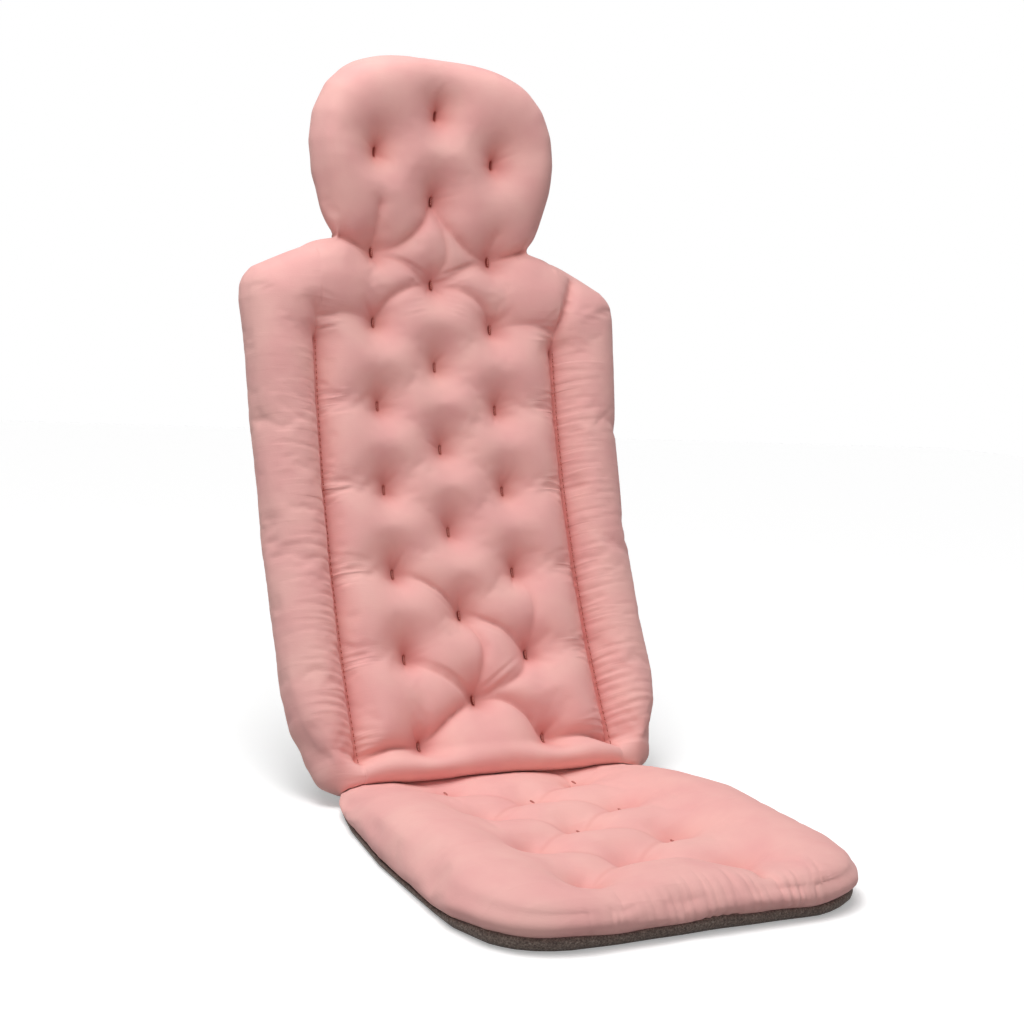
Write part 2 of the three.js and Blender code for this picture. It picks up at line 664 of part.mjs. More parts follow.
function headBacking() {
  const side = sideWarp(HEAD_HALF_WIDTH, 0, headHalf);
  const rows = alongOutline(HEAD_OUTLINE, EDGE_ZONE, HEAD_LENGTH - EDGE_ZONE + RIM_INSET, HALF_PITCH)
    .map((at) => NECK_AT + at);
  return trayBody((shift) => ({
    columns: trayColumns(HEAD_HALF_WIDTH, shift),
    rows: linesOver(NECK_AT, BACKING_FOLD_EDGE, rows, NECK_AT + HEAD_LENGTH, BACKING_EDGE, shift),
  }), (x, s) => ({ x: side(x, s), s }), true);
}

// A line of stitching that holds the covers down between the back panel and a bolster.
function stitching(side) {
  const end = shoulderLine(YOKE_HALF_WIDTH) - RIM_INSET;
  const level = steps(FIRST_SIDE_TUFT, YOKE_FROM, (YOKE_FROM - FIRST_SIDE_TUFT) / STITCH_ROWS);
  const rows = [STITCH_FROM, ...level, end];
  const face = (height) => rows.map((s) => [-1, 1].map((edge) => {
    const x = side * seamHalf(s) + edge * STITCH_THICKNESS / 2;
    return { x, s, h: backTray(x, s) + CLEARANCE + height };
  }));
  return bodyBetween(creased(face(STITCH_HEIGHT)), face(0), true);
}

// A rolled seam along a fold, which is the fold's axis.
function foldSeam(s, half, reclined) {
  const roll = new THREE.CylinderGeometry(SEAM_CORD_RADIUS, SEAM_CORD_RADIUS, 2 * half, SEAM_SIDES);
  return roll.rotateZ(Math.PI / 2).applyMatrix4(frameAt(0, s, SEAM_HEIGHT, reclined));
}

// Cuts rooms for the ties out of a body.
function cut(geometry, rooms) {
  return geometryOf(rooms.reduce((solid, room) => solid.subtract(room), solidOf(geometry)));
}

// A tufted pad: its cover, filling and ties. Returns the rooms that its backing needs for them.
function addPad(name, grid, trayAt, tufts, kinks, reclined) {
  const pits = tufts.map((tuft) => heightAt(grid, tuft));
  const rooms = tufts.map((tuft) => tieSlot(tuft, reclined));
  add(name + "_cover", bodyBetween(grid, under(grid, trayAt, COVER_THICKNESS), reclined), PINK, COVER_ROUGHNESS);
  add(name + "_filling", fillingBody(grid, trayAt, kinks, reclined), FILLING_WHITE, FILLING_ROUGHNESS);
  tufts.forEach((tuft, k) => {
    const number = String(k + 1).padStart(2, "0");
    add(name + "_tie_" + number, geometryOf(tie(tuft, pits[k], reclined)), THREAD_PINK, THREAD_ROUGHNESS);
  });
  return [...rooms, ...tufts.map((tuft) => tiePocket(tuft, reclined))];
}

// A bolster: its cover, its filling and the stitching at its inner edge.
function addBolster(name, side) {
  const grid = bolsterGrid(side);
  add(name + "_cover", bodyBetween(grid, under(grid, backTray, COVER_THICKNESS), true), PINK, COVER_ROUGHNESS);
  add(name + "_filling", fillingBody(grid, backTray, [], true), FILLING_WHITE, FILLING_ROUGHNESS);
  add(name + "_stitching", stitching(side), THREAD_PINK, THREAD_ROUGHNESS);
}

// Seat pad
const seatRooms = addPad("seat", seatGrid(), seatTray, seatTufts, [], false);
add("seat_backing", cut(seatBacking(), seatRooms), BACKING_GREY, BACKING_ROUGHNESS);
add("fold_seam", foldSeam(0, seatHalf(0) - RIM_INSET, false), THREAD_PINK, THREAD_ROUGHNESS);

// Back pad. The sitter's left is at +X.
const backRooms = addPad("back_panel", backGrid(), backTray, backTufts, [YOKE_FROM], true);
add("back_backing", cut(backBacking(), backRooms), BACKING_GREY, BACKING_ROUGHNESS);
addBolster("left_bolster", 1);
addBolster("right_bolster", -1);

// Head pad
const headPad = headGrid();
const headKinks = headPad.map(([first]) => first.s);
const headRooms = addPad("head", headPad, headTray, headTufts, headKinks, true);
add("head_backing", cut(headBacking(), headRooms), BACKING_GREY, BACKING_ROUGHNESS);
add("neck_seam", foldSeam(NECK_AT, NECK_HALF_WIDTH - RIM_INSET, true), THREAD_PINK, THREAD_ROUGHNESS);

export default cushion;
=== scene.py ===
# %% [markdown]
# Full body bath cushion.
# The real cushion is three stuffed pads in one row: a seat, a back with two side bolsters, and a
# head pillow. Thread tacks draw each pad in, so that the cloth puffs up between them.
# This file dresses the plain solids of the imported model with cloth, felt and thread.

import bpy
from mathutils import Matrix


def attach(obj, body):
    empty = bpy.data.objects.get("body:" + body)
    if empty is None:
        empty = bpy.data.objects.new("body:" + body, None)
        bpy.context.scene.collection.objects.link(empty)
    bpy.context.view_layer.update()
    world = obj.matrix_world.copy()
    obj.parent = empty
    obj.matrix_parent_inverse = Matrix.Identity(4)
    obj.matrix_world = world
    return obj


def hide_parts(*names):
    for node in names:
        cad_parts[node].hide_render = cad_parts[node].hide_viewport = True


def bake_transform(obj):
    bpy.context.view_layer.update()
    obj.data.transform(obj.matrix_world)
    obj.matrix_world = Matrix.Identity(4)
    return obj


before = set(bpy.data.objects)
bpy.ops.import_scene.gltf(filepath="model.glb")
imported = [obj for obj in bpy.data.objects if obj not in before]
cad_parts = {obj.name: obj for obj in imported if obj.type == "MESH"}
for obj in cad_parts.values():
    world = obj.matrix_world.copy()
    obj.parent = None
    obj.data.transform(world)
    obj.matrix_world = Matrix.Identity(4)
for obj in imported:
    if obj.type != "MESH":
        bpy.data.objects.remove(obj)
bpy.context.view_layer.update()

# %% Other modules
import math

import bmesh
import bpy
import numpy as np
from mathutils import Matrix, Vector

# %% [markdown]
# The camera stands where the photo was taken from: in front of the cushion, to the left as one
# faces it, at a little over half its height. Its place was found from the tacks and the outline.

# %% Camera
LENS_MM = 51.33
SENSOR_MM = 36
CAMERA_AT = Vector((-0.5745, -1.1970, 0.3950))
CAMERA_YAW = math.radians(26.107)
CAMERA_PITCH = math.radians(5.823)
CAMERA_ROLL = math.radians(3.058)


def in_scene(name, data):
    """A new object in the scene, for a mesh, a lamp or the camera."""
    made = bpy.data.objects.new(name, data)
    bpy.context.scene.collection.objects.link(made)
    return made


def add_camera():
    data = bpy.data.cameras.new("camera")
    data.lens = LENS_MM
    data.sensor_width = SENSOR_MM
    data.sensor_fit = "HORIZONTAL"
    look = Vector((math.sin(CAMERA_YAW) * math.cos(CAMERA_PITCH),
                   math.cos(CAMERA_YAW) * math.cos(CAMERA_PITCH),
                   -math.sin(CAMERA_PITCH)))
    level = Vector((math.cos(CAMERA_YAW), -math.sin(CAMERA_YAW), 0))
    above = level.cross(look)
    right = level * math.cos(CAMERA_ROLL) + above * math.sin(CAMERA_ROLL)
    up = above * math.cos(CAMERA_ROLL) - level * math.sin(CAMERA_ROLL)
    turn = Matrix((right, up, -look)).transposed().to_4x4()
    camera = in_scene("camera", data)
    camera.matrix_world = Matrix.Translation(CAMERA_AT) @ turn
    bpy.context.scene.camera = camera
    return camera


print("camera at", [round(v, 3) for v in add_camera().location])

# %% [markdown]
# Every pad is drawn flat first, in millimetres, as a pattern cutter would: x across, s along the
# cushion from the fold (the seat is negative), and h up from the outer face of the felt.
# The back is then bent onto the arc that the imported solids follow.

# %% Flat places and the bend of the back
MM = 0.001
RECLINE = math.radians(36.2)
BEND_RADIUS = 1100
HINGE_HEIGHT = 9
NECK_AT = 546


def bent(flat):
    """Flat places (x, s, h) of the back and head, in metres in the cushion's own frame."""
    lean = RECLINE - flat[:, 1] / BEND_RADIUS
    rise = flat[:, 2] - HINGE_HEIGHT
    along = BEND_RADIUS * (np.cos(lean) - math.cos(RECLINE)) - rise * np.cos(lean)
    up = HINGE_HEIGHT + BEND_RADIUS * (math.sin(RECLINE) - np.sin(lean)) + rise * np.sin(lean)
    return np.stack([flat[:, 0], along, up], axis=1) * MM


def laid(flat):
    """Flat places of the seat, which lies level."""
    return flat * MM


print("neck at", bent(np.array([[0.0, NECK_AT, HINGE_HEIGHT]]))[0].round(4))

# %% [markdown]
# The outlines are read from the photo: half widths along s, the same as those of the solids. The
# lattice of a pad stops a little inside its outline, and a rolled rim goes round it.

# %% Outlines
SEAM_LINE = 129
YOKE_FROM = 439.1
NECK_COLUMN = 104
SHOULDER_SLOPE = 0.4894
SHOULDER_AT = 542.1
SEAT_SIDE = [(-367, 96), (-366, 106), (-363.5, 118), (-359.5, 129), (-351, 143), (-334, 156),
             (-300, 166), (-170, 169), (-90, 163), (-45, 155), (-24, 146), (-12, 136)]
BACK_SIDE = [(0, 143), (12, 157), (30, 170), (55, 180), (90, 184), (250, 186), (350, 189),
             (450, 194), (500, 196), (525, 195), (535, 192), (542, 186)]
HEAD_SIDE = [(SHOULDER_AT, NECK_COLUMN), (547, 103), (571, 113), (606, 123), (636, 126), (664, 123),
             (690, 111.5), (707, 95), (713, 84), (717.5, 73), (720.5, 60), (722.3, 46), (723, 34)]


def read_off(table, at):
    """The value at a place, from a table of (place, value) pairs."""
    return np.interp(at, [place for place, _ in table], [value for _, value in table])


def shoulder_at(x):
    """The back's upper edge: it slopes from the neck down to the shoulder tips."""
    return SHOULDER_AT - SHOULDER_SLOPE * max(0, abs(x) - NECK_COLUMN)


print("seat", read_off(SEAT_SIDE, -200), "back", read_off(BACK_SIDE, 250), "mm to each side")

# %% [markdown]
# The tacks stand in one staggered lattice that runs through seat, back and head. Each one is a
# short upright bar of thread, and the cloth closes over it as a narrow slit in a wide dimple.

# %% Tacks
PITCH = 85.5
SIDE_TACK = 64
FIRST_TACK = 33
NECK_TACK = 532


def row_at(row):
    return FIRST_TACK + row * PITCH / 2


def tack(row, side=0):
    """The tack of a row on the middle line, or to one side of it."""
    return side * SIDE_TACK, row_at(row)


def tack_rows(first, last):
    found = []
    for row in range(first, last + 1):
        found += [tack(row, -1), tack(row, 1)] if row % 2 == 0 else [tack(row)]
    return found


SEAT_TACKS = tack_rows(-8, -2)
BACK_TACKS = tack_rows(0, 11) + [(-SIDE_TACK, NECK_TACK), (SIDE_TACK, NECK_TACK)]
HEAD_TACKS = tack_rows(13, 15)
print(len(SEAT_TACKS), "seat,", len(BACK_TACKS), "back and", len(HEAD_TACKS), "head tacks")

# %% [markdown]
# A pad's edge is rolled where the cloth is tight, and lies folded where it rests on its
# neighbour. Each kind of edge is one row of numbers, so that one can pass over into another.

# %% Kinds of edge
def edge_kind(top, wide, bend, *rings):
    """The share of the crown at the lattice's border, how wide the shoulder over it is in
    millimetres, how it bends (0.5 like a circle, 1 like a shallow slope), and the rings below it
    as (distance out, share of the crown)."""
    return np.array([top, wide, bend, *(value for ring in rings for value in ring)])


ROLLED = edge_kind(0.56, 44, 0.5, (3, 0.46), (4.8, 0.35), (5.2, 0.23), (3.8, 0.11), (0, 0))
SOFT = edge_kind(0.5, 46, 0.5, (3, 0.41), (5, 0.31), (5.4, 0.2), (3.8, 0.09), (0, 0))
NOTCHED = edge_kind(0.45, 16, 0.5, (0.4, 0.36), (0.6, 0.27), (0.5, 0.18), (0.3, 0.08), (0, 0))
FOLDED = edge_kind(0.8, 24, 1, (4, 0.64), (7.5, 0.46), (10, 0.3), (12, 0.14), (12.2, 0))
RESTING = edge_kind(0.84, 40, 1, (8, 0.79), (15, 0.69), (20.5, 0.55), (23, 0.37), (12.2, 0))
ENDED = edge_kind(0.74, 44, 0.8, (13, 0.64), (23, 0.53), (31, 0.4), (33, 0.24), (14, 0))
RINGS = 5
EDGE_SMOOTHINGS = 3


def mixed(first, second, share):
    """An edge between two kinds."""
    return first * (1 - share) + second * share


def edge_numbers(loop, kind_at):
    """Each border point's edge numbers in one row, smoothed along the border."""
    table = np.array([kind_at(point.co.x, point.co.y) for point in loop])
    for _ in range(EDGE_SMOOTHINGS):
        table = (np.roll(table, 1, axis=0) + table + np.roll(table, -1, axis=0)) / 3
    return table


# %% [markdown]
# A lattice of quads makes each pad's upper cloth: a grid primitive whose points are moved onto the
# pattern, so that the rows stay level and the columns follow the sides. The rim is extruded from
# its border, ring by ring, down to the line where the cloth is sewn to the felt.

# %% Lattice and border
def grid_on(columns, rows, warp):
    """A grid primitive with its points moved onto the flat pattern. Points without a place go."""
    shape = bmesh.new()
    last_column = len(columns) - 1
    last_row = len(rows) - 1
    bmesh.ops.create_grid(shape, x_segments=last_column, y_segments=last_row, size=1)
    spare = []
    for point in shape.verts:
        i = round((point.co.x + 1) / 2 * last_column)
        j = round((point.co.y + 1) / 2 * last_row)
        place = warp(columns[i], rows[j])
        if place is None:
            spare.append(point)
        else:
            point.co = (*place, 0)
    bmesh.ops.delete(shape, geom=spare, context="VERTS")
    return shape


def border_of(shape):
    """The points of the border, in order round it, with the cloth on their left."""
    start = min((point for point in shape.verts if point.is_boundary),
                key=lambda point: (point.co.y, point.co.x))
    loop = [start]
    following = max((edge.other_vert(start) for edge in start.link_edges if edge.is_boundary),
                    key=lambda point: point.co.x)
    while following is not start:
        loop.append(following)
        following = next(edge.other_vert(following) for edge in following.link_edges
                         if edge.is_boundary and edge.other_vert(following) is not loop[-2])
    return loop


def loop_edges(shape, loop):
    return [shape.edges.get((a, b)) for a, b in zip(loop, loop[1:] + loop[:1])]


def level_places(points):
    return np.array([point.co[:2] for point in points])


def ring_below(shape, loop):
    """Extrudes a border loop, and returns the new loop in the same order."""
    known = set(loop)
    made = bmesh.ops.extrude_edge_only(shape, edges=loop_edges(shape, loop))["geom"]
    below = {}
    for point in (each for each in made if isinstance(each, bmesh.types.BMVert)):
        above = next(edge.other_vert(point) for edge in point.link_edges
                     if edge.other_vert(point) in known)
        below[above] = point
    return [below[point] for point in loop]


def outwards(loop):
    """Level directions out of a border loop."""
    places = level_places(loop)
    ahead = np.roll(places, -2, axis=0) - np.roll(places, 2, axis=0)
    out = np.stack([ahead[:, 1], -ahead[:, 0]], axis=1)
    return out / np.linalg.norm(out, axis=1)[:, None]


# %% [markdown]
# Creases are drawn as lines from tack to tack. The nearest points of the lattice are moved onto
# them, so that a crease runs clean instead of stepping from point to point.

# %% Distances, creases and gathers
def nearest_on(line, places):
    """Nearest points of a line of straight parts, and how far away they are."""
    best = np.full(len(places), np.inf)
    found = places.copy()
    for (x0, s0), (x1, s1) in zip(line, line[1:]):
        start = np.array([x0, s0], float)
        part = np.array([x1, s1], float) - start
        along = np.clip((places - start) @ part / max(part @ part, 1e-9), 0, 1)
        there = start + along[:, None] * part
        away = np.linalg.norm(places - there, axis=1)
        closer = away < best
        best[closer] = away[closer]
        found[closer] = there[closer]
    return found, best


def rounded(line, parts=6):
    """A smooth line through the given places."""
    ends = np.array([line[0], *line, line[-1]], float)
    places = []
    for k in range(1, len(ends) - 2):
        a, b, c, d = ends[k - 1:k + 3]
        for t in np.linspace(0, 1, parts, endpoint=False):
            places.append(0.5 * (2 * b + (c - a) * t + (2 * a - 5 * b + 4 * c - d) * t ** 2
                                 + (3 * b - a - 3 * c + d) * t ** 3))
    return [tuple(place) for place in places] + [tuple(ends[-1])]


GATHER_WIDE = 15
GATHER_LONG = 13
GATHER_POWER = 0.7
DRAWN_REACH = 20


def gathered(places, tacks):
    """Draws a lattice point onto each tack, and the cloth beside it together into a slit."""
    moved = places.copy()
    for x, s in tacks:
        away = moved - (x, s)
        distance = np.hypot(away[:, 0], away[:, 1])
        moved -= away[np.argmin(distance)] * np.exp(-distance / DRAWN_REACH)[:, None]
        away = moved - (x, s)
        across = np.clip(np.abs(away[:, 0]) / GATHER_WIDE, 0, 1)
        along = np.clip(1 - np.abs(away[:, 1]) / GATHER_LONG, 0, 1)
        moved[:, 0] -= away[:, 0] * (1 - across ** GATHER_POWER) * along
    return moved


SNAP = 2.1
SNAP_SHARE = 0.8


def snapped(places, creases):
    """Moves the points beside a crease almost onto it. Returns the places and how firmly each is
    held. No two points may meet, because the cloth simulation stops at an edge without length."""
    moved = places.copy()
    hold = np.zeros(len(places))
    for each in creases:
        if not each["hold"]:
            continue
        there, away = nearest_on(each["line"], moved)
        beside = away < SNAP
        moved[beside] += SNAP_SHARE * (there[beside] - moved[beside])
        hold[beside] = np.maximum(hold[beside], each["hold"])
    return moved, hold


# %% [markdown]
# Before it is blown up, a pad has a plain form: a crown over its middle, a rounded shoulder round
# its sides, a funnel at each tack and a valley along each crease.

# %% Start form of a pad
SEAM_HEIGHT = 9.6
SEAM_ALONG = [(-372, 12), (-330, 11), (-270, 5.5), (-60, 5.5), (-25, SEAM_HEIGHT)]
WAVY_ALONG = [(-372, 1), (-330, 0.7), (-270, 0)]
FUNNEL_DEPTH = 0.86
FUNNEL_WIDE = 23
SLIT_HALF = 4


def seam_heights(places):
    """Height of the line where cloth meets felt: low at the seat's sides, wavy along its front."""
    wave = 1.3 * np.sin(places[:, 0] / 24 + 0.8) + 0.6 * np.sin(places[:, 0] / 9)
    return read_off(SEAM_ALONG, places[:, 1]) + read_off(WAVY_ALONG, places[:, 1]) * wave


def start_heights(places, border, numbers, crown_at, tacks, creases):
    nearest = np.hypot(places[:, :1] - border[:, 0], places[:, 1:] - border[:, 1]).argmin(axis=1)
    top, wide, bend = (numbers[nearest, k] for k in range(3))
    _, away = nearest_on([*border, border[0]], places)
    share = top + (1 - top) * (1 - (1 - np.clip(away / wide, 0, 1)) ** 2) ** bend
    for x, s in tacks:
        along = np.maximum(np.abs(places[:, 1] - s) - SLIT_HALF, 0)
        share = share * (1 - FUNNEL_DEPTH * np.exp(-np.hypot(places[:, 0] - x, along) / FUNNEL_WIDE))
    for each in creases:
        _, off = nearest_on(each["line"], places)
        sharp = 1 if each["hold"] else 2
        share = share * (1 - each["deep"] * np.exp(-(off / each["wide"]) ** sharp))
    seam = seam_heights(places)
    return seam + (crown_at(places) - seam) * share


def crease(line, deep, wide, hold):
    """A crease is sharp where the cloth is held, and a round valley where it isn't."""
    return dict(line=rounded(line), deep=deep, wide=wide, hold=hold)


def valleys(first, last, deep, wide):
    """Round valleys from each middle tack to the four side tacks round it."""
    for row in range(first, last + 1):
        if row % 2:
            for side in (-1, 1):
                for near in (row - 1, row + 1):
                    yield crease([tack(row), tack(near, side)], deep, wide, 0)


# %% [markdown]
# The upper cloth of a pad is one mesh: the lattice, then the rim's rings. The points that thread
# holds are kept in a group, which the simulation doesn't move.

# %% Upper cloth
def upper_cloth(name, columns, rows, warp, kind_at, crown_at, tacks, creases):
    shape = grid_on(columns, rows, warp)
    loop = border_of(shape)
    inner = [point for point in shape.verts if not point.is_boundary]
    places, hold = snapped(gathered(level_places(inner), tacks), creases)
    numbers = edge_numbers(loop, kind_at)
    heights = start_heights(places, level_places(loop), numbers, crown_at, tacks, creases)
    for x, s in tacks:
        hold[(np.abs(places[:, 0] - x) < 1) & (np.abs(places[:, 1] - s) < SLIT_HALF + 1)] = 1
    for point, place, height in zip(inner, places, heights):
        point.co = (*place, height)
    lowest = add_rim(shape, loop, numbers, crown_at)
    sort_parts(shape)
    rim = [point.index for point in lowest]
    held = {point.index: firm for point, firm in zip(inner, hold) if firm}
    held.update(dict.fromkeys(rim, 1))
    pad = as_object(name, shape)
    group = pad.vertex_groups.new(name="held")
    for index, firm in held.items():
        group.add([index], firm, "REPLACE")
    return pad, rim


def sort_parts(shape):
    """Puts edges and faces in the order of their points. An extrusion leaves them in a new order in
    each run, and the cloth simulation would then give other folds each time."""
    shape.verts.index_update()
    for parts in (shape.edges, shape.faces):
        parts.sort(key=lambda part: sum(point.index for point in part.verts) * len(shape.verts)
                   + min(point.index for point in part.verts))


def add_rim(shape, loop, numbers, crown_at):
    """Extrudes the rings of the rim below the lattice's border. Returns the lowest ring."""
    out = outwards(loop)
    border = level_places(loop)
    seam = seam_heights(border)
    rise = crown_at(border) - seam
    for point, low, height, top in zip(loop, seam, rise, numbers[:, 0]):
        point.co.z = low + height * top
    for ring in range(RINGS):
        loop = ring_below(shape, loop)
        outs = numbers[:, 3 + 2 * ring]
        shares = numbers[:, 4 + 2 * ring]
        for k, point in enumerate(loop):
            x, s = border[k] + out[k] * outs[k]
            point.co = (x, s, seam[k] + rise[k] * shares[k])
    return loop


def places_of(pad, kind="co"):
    """The places of all points, or their normals."""
    values = np.zeros(len(pad.data.vertices) * 3)
    pad.data.vertices.foreach_get(kind, values)
    return values.reshape(-1, 3)


def set_places(pad, places):
    pad.data.vertices.foreach_set("co", np.asarray(places, float).ravel())
    pad.data.update()


def as_object(name, shape, to_frame=None):
    """A bmesh as a smooth-shaded object, brought from the flat into the frame if to_frame is given."""
    mesh = bpy.data.meshes.new(name)
    for face in shape.faces:
        face.smooth = True
    shape.to_mesh(mesh)
    shape.free()
    made = in_scene(name, mesh)
    if to_frame:
        set_places(made, to_frame(places_of(made)))
    return made


# %% [markdown]
# The cloth is blown up in the flat, without gravity, as a stuffed pad is when its filling pushes
# against the thread. It is up to one percent larger than the form under it, so it wrinkles a
# little. The points may only move so far, so that the pad keeps to its solid.

# %% Cloth simulation
FRAMES = 18
FURTHEST_MOVE = 7
CLOTH_SETTINGS = dict(quality=5, mass=0.15, tension_stiffness=10, compression_stiffness=8,
                      shear_stiffness=4, bending_stiffness=0.08, use_pressure=True,
                      vertex_group_mass="held")


def blow_up(pad, spare, pressure):
    """Runs the cloth simulation on a pad in metres, and applies what it gives."""
    start = places_of(pad)
    pad.data.transform(Matrix.Scale(MM, 4))
    cloth = pad.modifiers.new("cloth", "CLOTH")
    for name, value in CLOTH_SETTINGS.items():
        setattr(cloth.settings, name, value)
    cloth.settings.uniform_pressure_force = pressure
    cloth.settings.shrink_min = spare
    cloth.settings.effector_weights.gravity = 0
    cloth.collision_settings.use_collision = False
    cloth.point_cache.frame_start = 1
    cloth.point_cache.frame_end = FRAMES
    scene = bpy.context.scene
    for number in range(1, FRAMES + 1):
        scene.frame_set(number)
    after = places_of(pad.evaluated_get(bpy.context.evaluated_depsgraph_get())) / MM
    pad.modifiers.remove(cloth)
    scene.frame_set(1)
    move = after - start
    far = np.linalg.norm(move, axis=1)
    print(pad.name, "moved", far.mean().round(2), "mm, at most", far.max().round(2))
    move *= (FURTHEST_MOVE * np.tanh(far / FURTHEST_MOVE) / np.maximum(far, 1e-6))[:, None]
    set_places(pad, start + move)


ROLL_TO = 19
ROLL_SMOOTHINGS = 4


def soften(pad, start):
    """Rounds the roll at the lower edge of the back."""
    shape = bmesh.new()
    shape.from_mesh(pad.data)
    chosen = [point for point, s in zip(shape.verts, start[:, 1])
              if s < ROLL_TO and not point.is_boundary]
    for _ in range(ROLL_SMOOTHINGS):
        bmesh.ops.smooth_vert(shape, verts=chosen, factor=0.5, use_axis_x=True, use_axis_y=True,
                              use_axis_z=True)
    shape.to_mesh(pad.data)
    shape.free()


# %% [markdown]
# Under the rim the pad is closed: a ring turns in over the felt, and level strips join its two
# sides, row by row, so that the underside follows the bend of the back.

# %% Underside
TURN_IN = 8
UNDERSIDE = 3.4
NECK_UNDERSIDE = 11.6
STRIP = 9


def underside_at(x, s):
    """Height of a pad's underside, which rises over the felt's folded edges and the neck's cord."""
    neck = np.interp(abs(s - NECK_AT), [3, 10], [NECK_UNDERSIDE, UNDERSIDE])
    fold = np.interp(abs(s), [4, 12], [SEAM_HEIGHT, UNDERSIDE])
    return max(neck, fold)


def close_flat(shape, loop, height_at):
    """Closes a border loop with one face, cut into level strips so that it can bend, and turns
    all faces outwards."""
    face = bmesh.ops.contextual_create(shape, geom=loop_edges(shape, loop))["faces"][0]
    low = min(point.co.y for point in loop)
    high = max(point.co.y for point in loop)
    parts = [face]
    for s in np.arange(low + STRIP, high - 1, STRIP):
        around = {each for part in parts for each in (part, *part.edges, *part.verts)}
        cut = bmesh.ops.bisect_plane(shape, geom=list(around), plane_co=(0, s, 0), plane_no=(0, 1, 0))
        parts = [each for each in cut["geom"] if isinstance(each, bmesh.types.BMFace)]
    for point in {point for part in parts for point in part.verts}:
        point.co.z = height_at(point.co.x, point.co.y)
    bmesh.ops.recalc_face_normals(shape, faces=shape.faces)
    if shape.calc_volume(signed=True) < 0:
        bmesh.ops.reverse_faces(shape, faces=shape.faces)


def close_underside(pad, rim):
    shape = bmesh.new()
    shape.from_mesh(pad.data)
    shape.verts.ensure_lookup_table()
    loop = [shape.verts[index] for index in rim]
    out = outwards(loop)
    border = level_places(loop)
    loop = ring_below(shape, loop)
    for k, point in enumerate(loop):
        x, s = border[k] - out[k] * TURN_IN
        point.co = (x, s, underside_at(x, s))
    close_flat(shape, loop, underside_at)
    shape.to_mesh(pad.data)
    shape.free()


def smooth_once(pad):
    """Applies one level of subdivision."""
    smooth = pad.modifiers.new("smooth", "SUBSURF")
    smooth.levels = 1
    smooth.render_levels = 1
    evaluated = pad.evaluated_get(bpy.context.evaluated_depsgraph_get())
    mesh = bpy.data.meshes.new_from_object(evaluated)
    pad.modifiers.remove(smooth)
    old = pad.data
    pad.data = mesh
    bpy.data.meshes.remove(old)
    pad.vertex_groups.clear()
    for face in pad.data.polygons:
        face.use_smooth = True


# %% [markdown]
# Small puckers come last, pressed into the smooth mesh: short creases that run away from a sewn
# line, where the thread has drawn the cloth up. Each one is a narrow valley between two low folds.

# %% Puckers
RUN_OUT = 0.2
FADE_IN = 0.3
FADE_OUT = 0.7
PUCKER_REACH = 4
SIDE_FOLDS = 0.75


def press(pad, puckers):
    """Presses puckers into a pad: each is (x0, s0, x1, s1, depth, width)."""
    places = places_of(pad)
    level = places[:, :2]
    depth = np.zeros(len(places))
    for x0, s0, x1, s1, deep, wide in puckers:
        start = np.array([x0, s0])
        part = np.array([x1 - x0, s1 - s0])
        length = np.linalg.norm(part)
        along = (level - start) @ part / length ** 2
        off = np.abs((level - start) @ np.array([-part[1], part[0]])) / length
        inside = (along > -RUN_OUT) & (along < 1 + RUN_OUT) & (off < PUCKER_REACH * wide)
        fade = np.clip((along[inside] + RUN_OUT) / FADE_IN, 0, 1)
        fade *= np.clip((1 + RUN_OUT - along[inside]) / FADE_OUT, 0, 1)
        ratio = (off[inside] / wide) ** 2
        depth[inside] += deep * fade ** 1.5 * (1 - SIDE_FOLDS * ratio) * np.exp(-ratio / 2)
    above = places[:, 2] > SEAM_HEIGHT + 2
    depth[~above] = 0
    set_places(pad, places - places_of(pad, "normal") * depth[:, None])


# %% [markdown]
# The cloth's colour is painted darker inside slits, dimples and creases: painted shade, where the folds
# lie in shadow and light bounces between them.
# Each point keeps how much painted shade it gets, as an attribute that the material reads.

# %% Painted shade attribute
SLIT_SHADE_REACH = (2.2, 2.5)
DIMPLE_SHADE_REACH = 12
DIMPLE_SHADE_SHARE = 0.4
CREASE_SHADE_REACH = 2.6
CREASE_SHADE_SHARE = 0.45


# Painted shade: narrow and dark in each tack's slit, wide and faint round its dimple, and along each
# crease.
def paint_fold_shade(pad, tacks, creases):
    places = places_of(pad)
    level = places[:, :2]
    painted_shade = np.zeros(len(places))
    for x, s in tacks:
        across = np.abs(level[:, 0] - x) / SLIT_SHADE_REACH[0]
        along = np.maximum(np.abs(level[:, 1] - s) - SLIT_HALF, 0) / SLIT_SHADE_REACH[1]
        painted_shade = np.maximum(painted_shade, np.exp(-across ** 2 - along ** 2))
        soft = np.hypot(level[:, 0] - x, level[:, 1] - s) / DIMPLE_SHADE_REACH
        painted_shade = np.maximum(painted_shade, DIMPLE_SHADE_SHARE * np.exp(-soft ** 2))
    for each in creases:
        _, off = nearest_on(each["line"], level)
        most = CREASE_SHADE_SHARE * min(1, 1.6 * each["deep"])
        painted_shade = np.maximum(painted_shade, most * np.exp(-(off / CREASE_SHADE_REACH) ** 2))
    keep_attribute(pad, "painted_shade", painted_shade)


def keep_attribute(pad, name, values):
    layer = pad.data.attributes.new(name, "FLOAT", "POINT")
    layer.data.foreach_set("value", values.astype(np.float32))


# %% [markdown]
# Fine level wrinkles of 3 to 6 mm are thinner than the mesh can show, so the material draws them.
# They run off the sewn grooves, in a fan beside each side tack and more evenly on the bolsters.
# Each point keeps its flat place, which the wrinkles follow round the bend, and their strength.

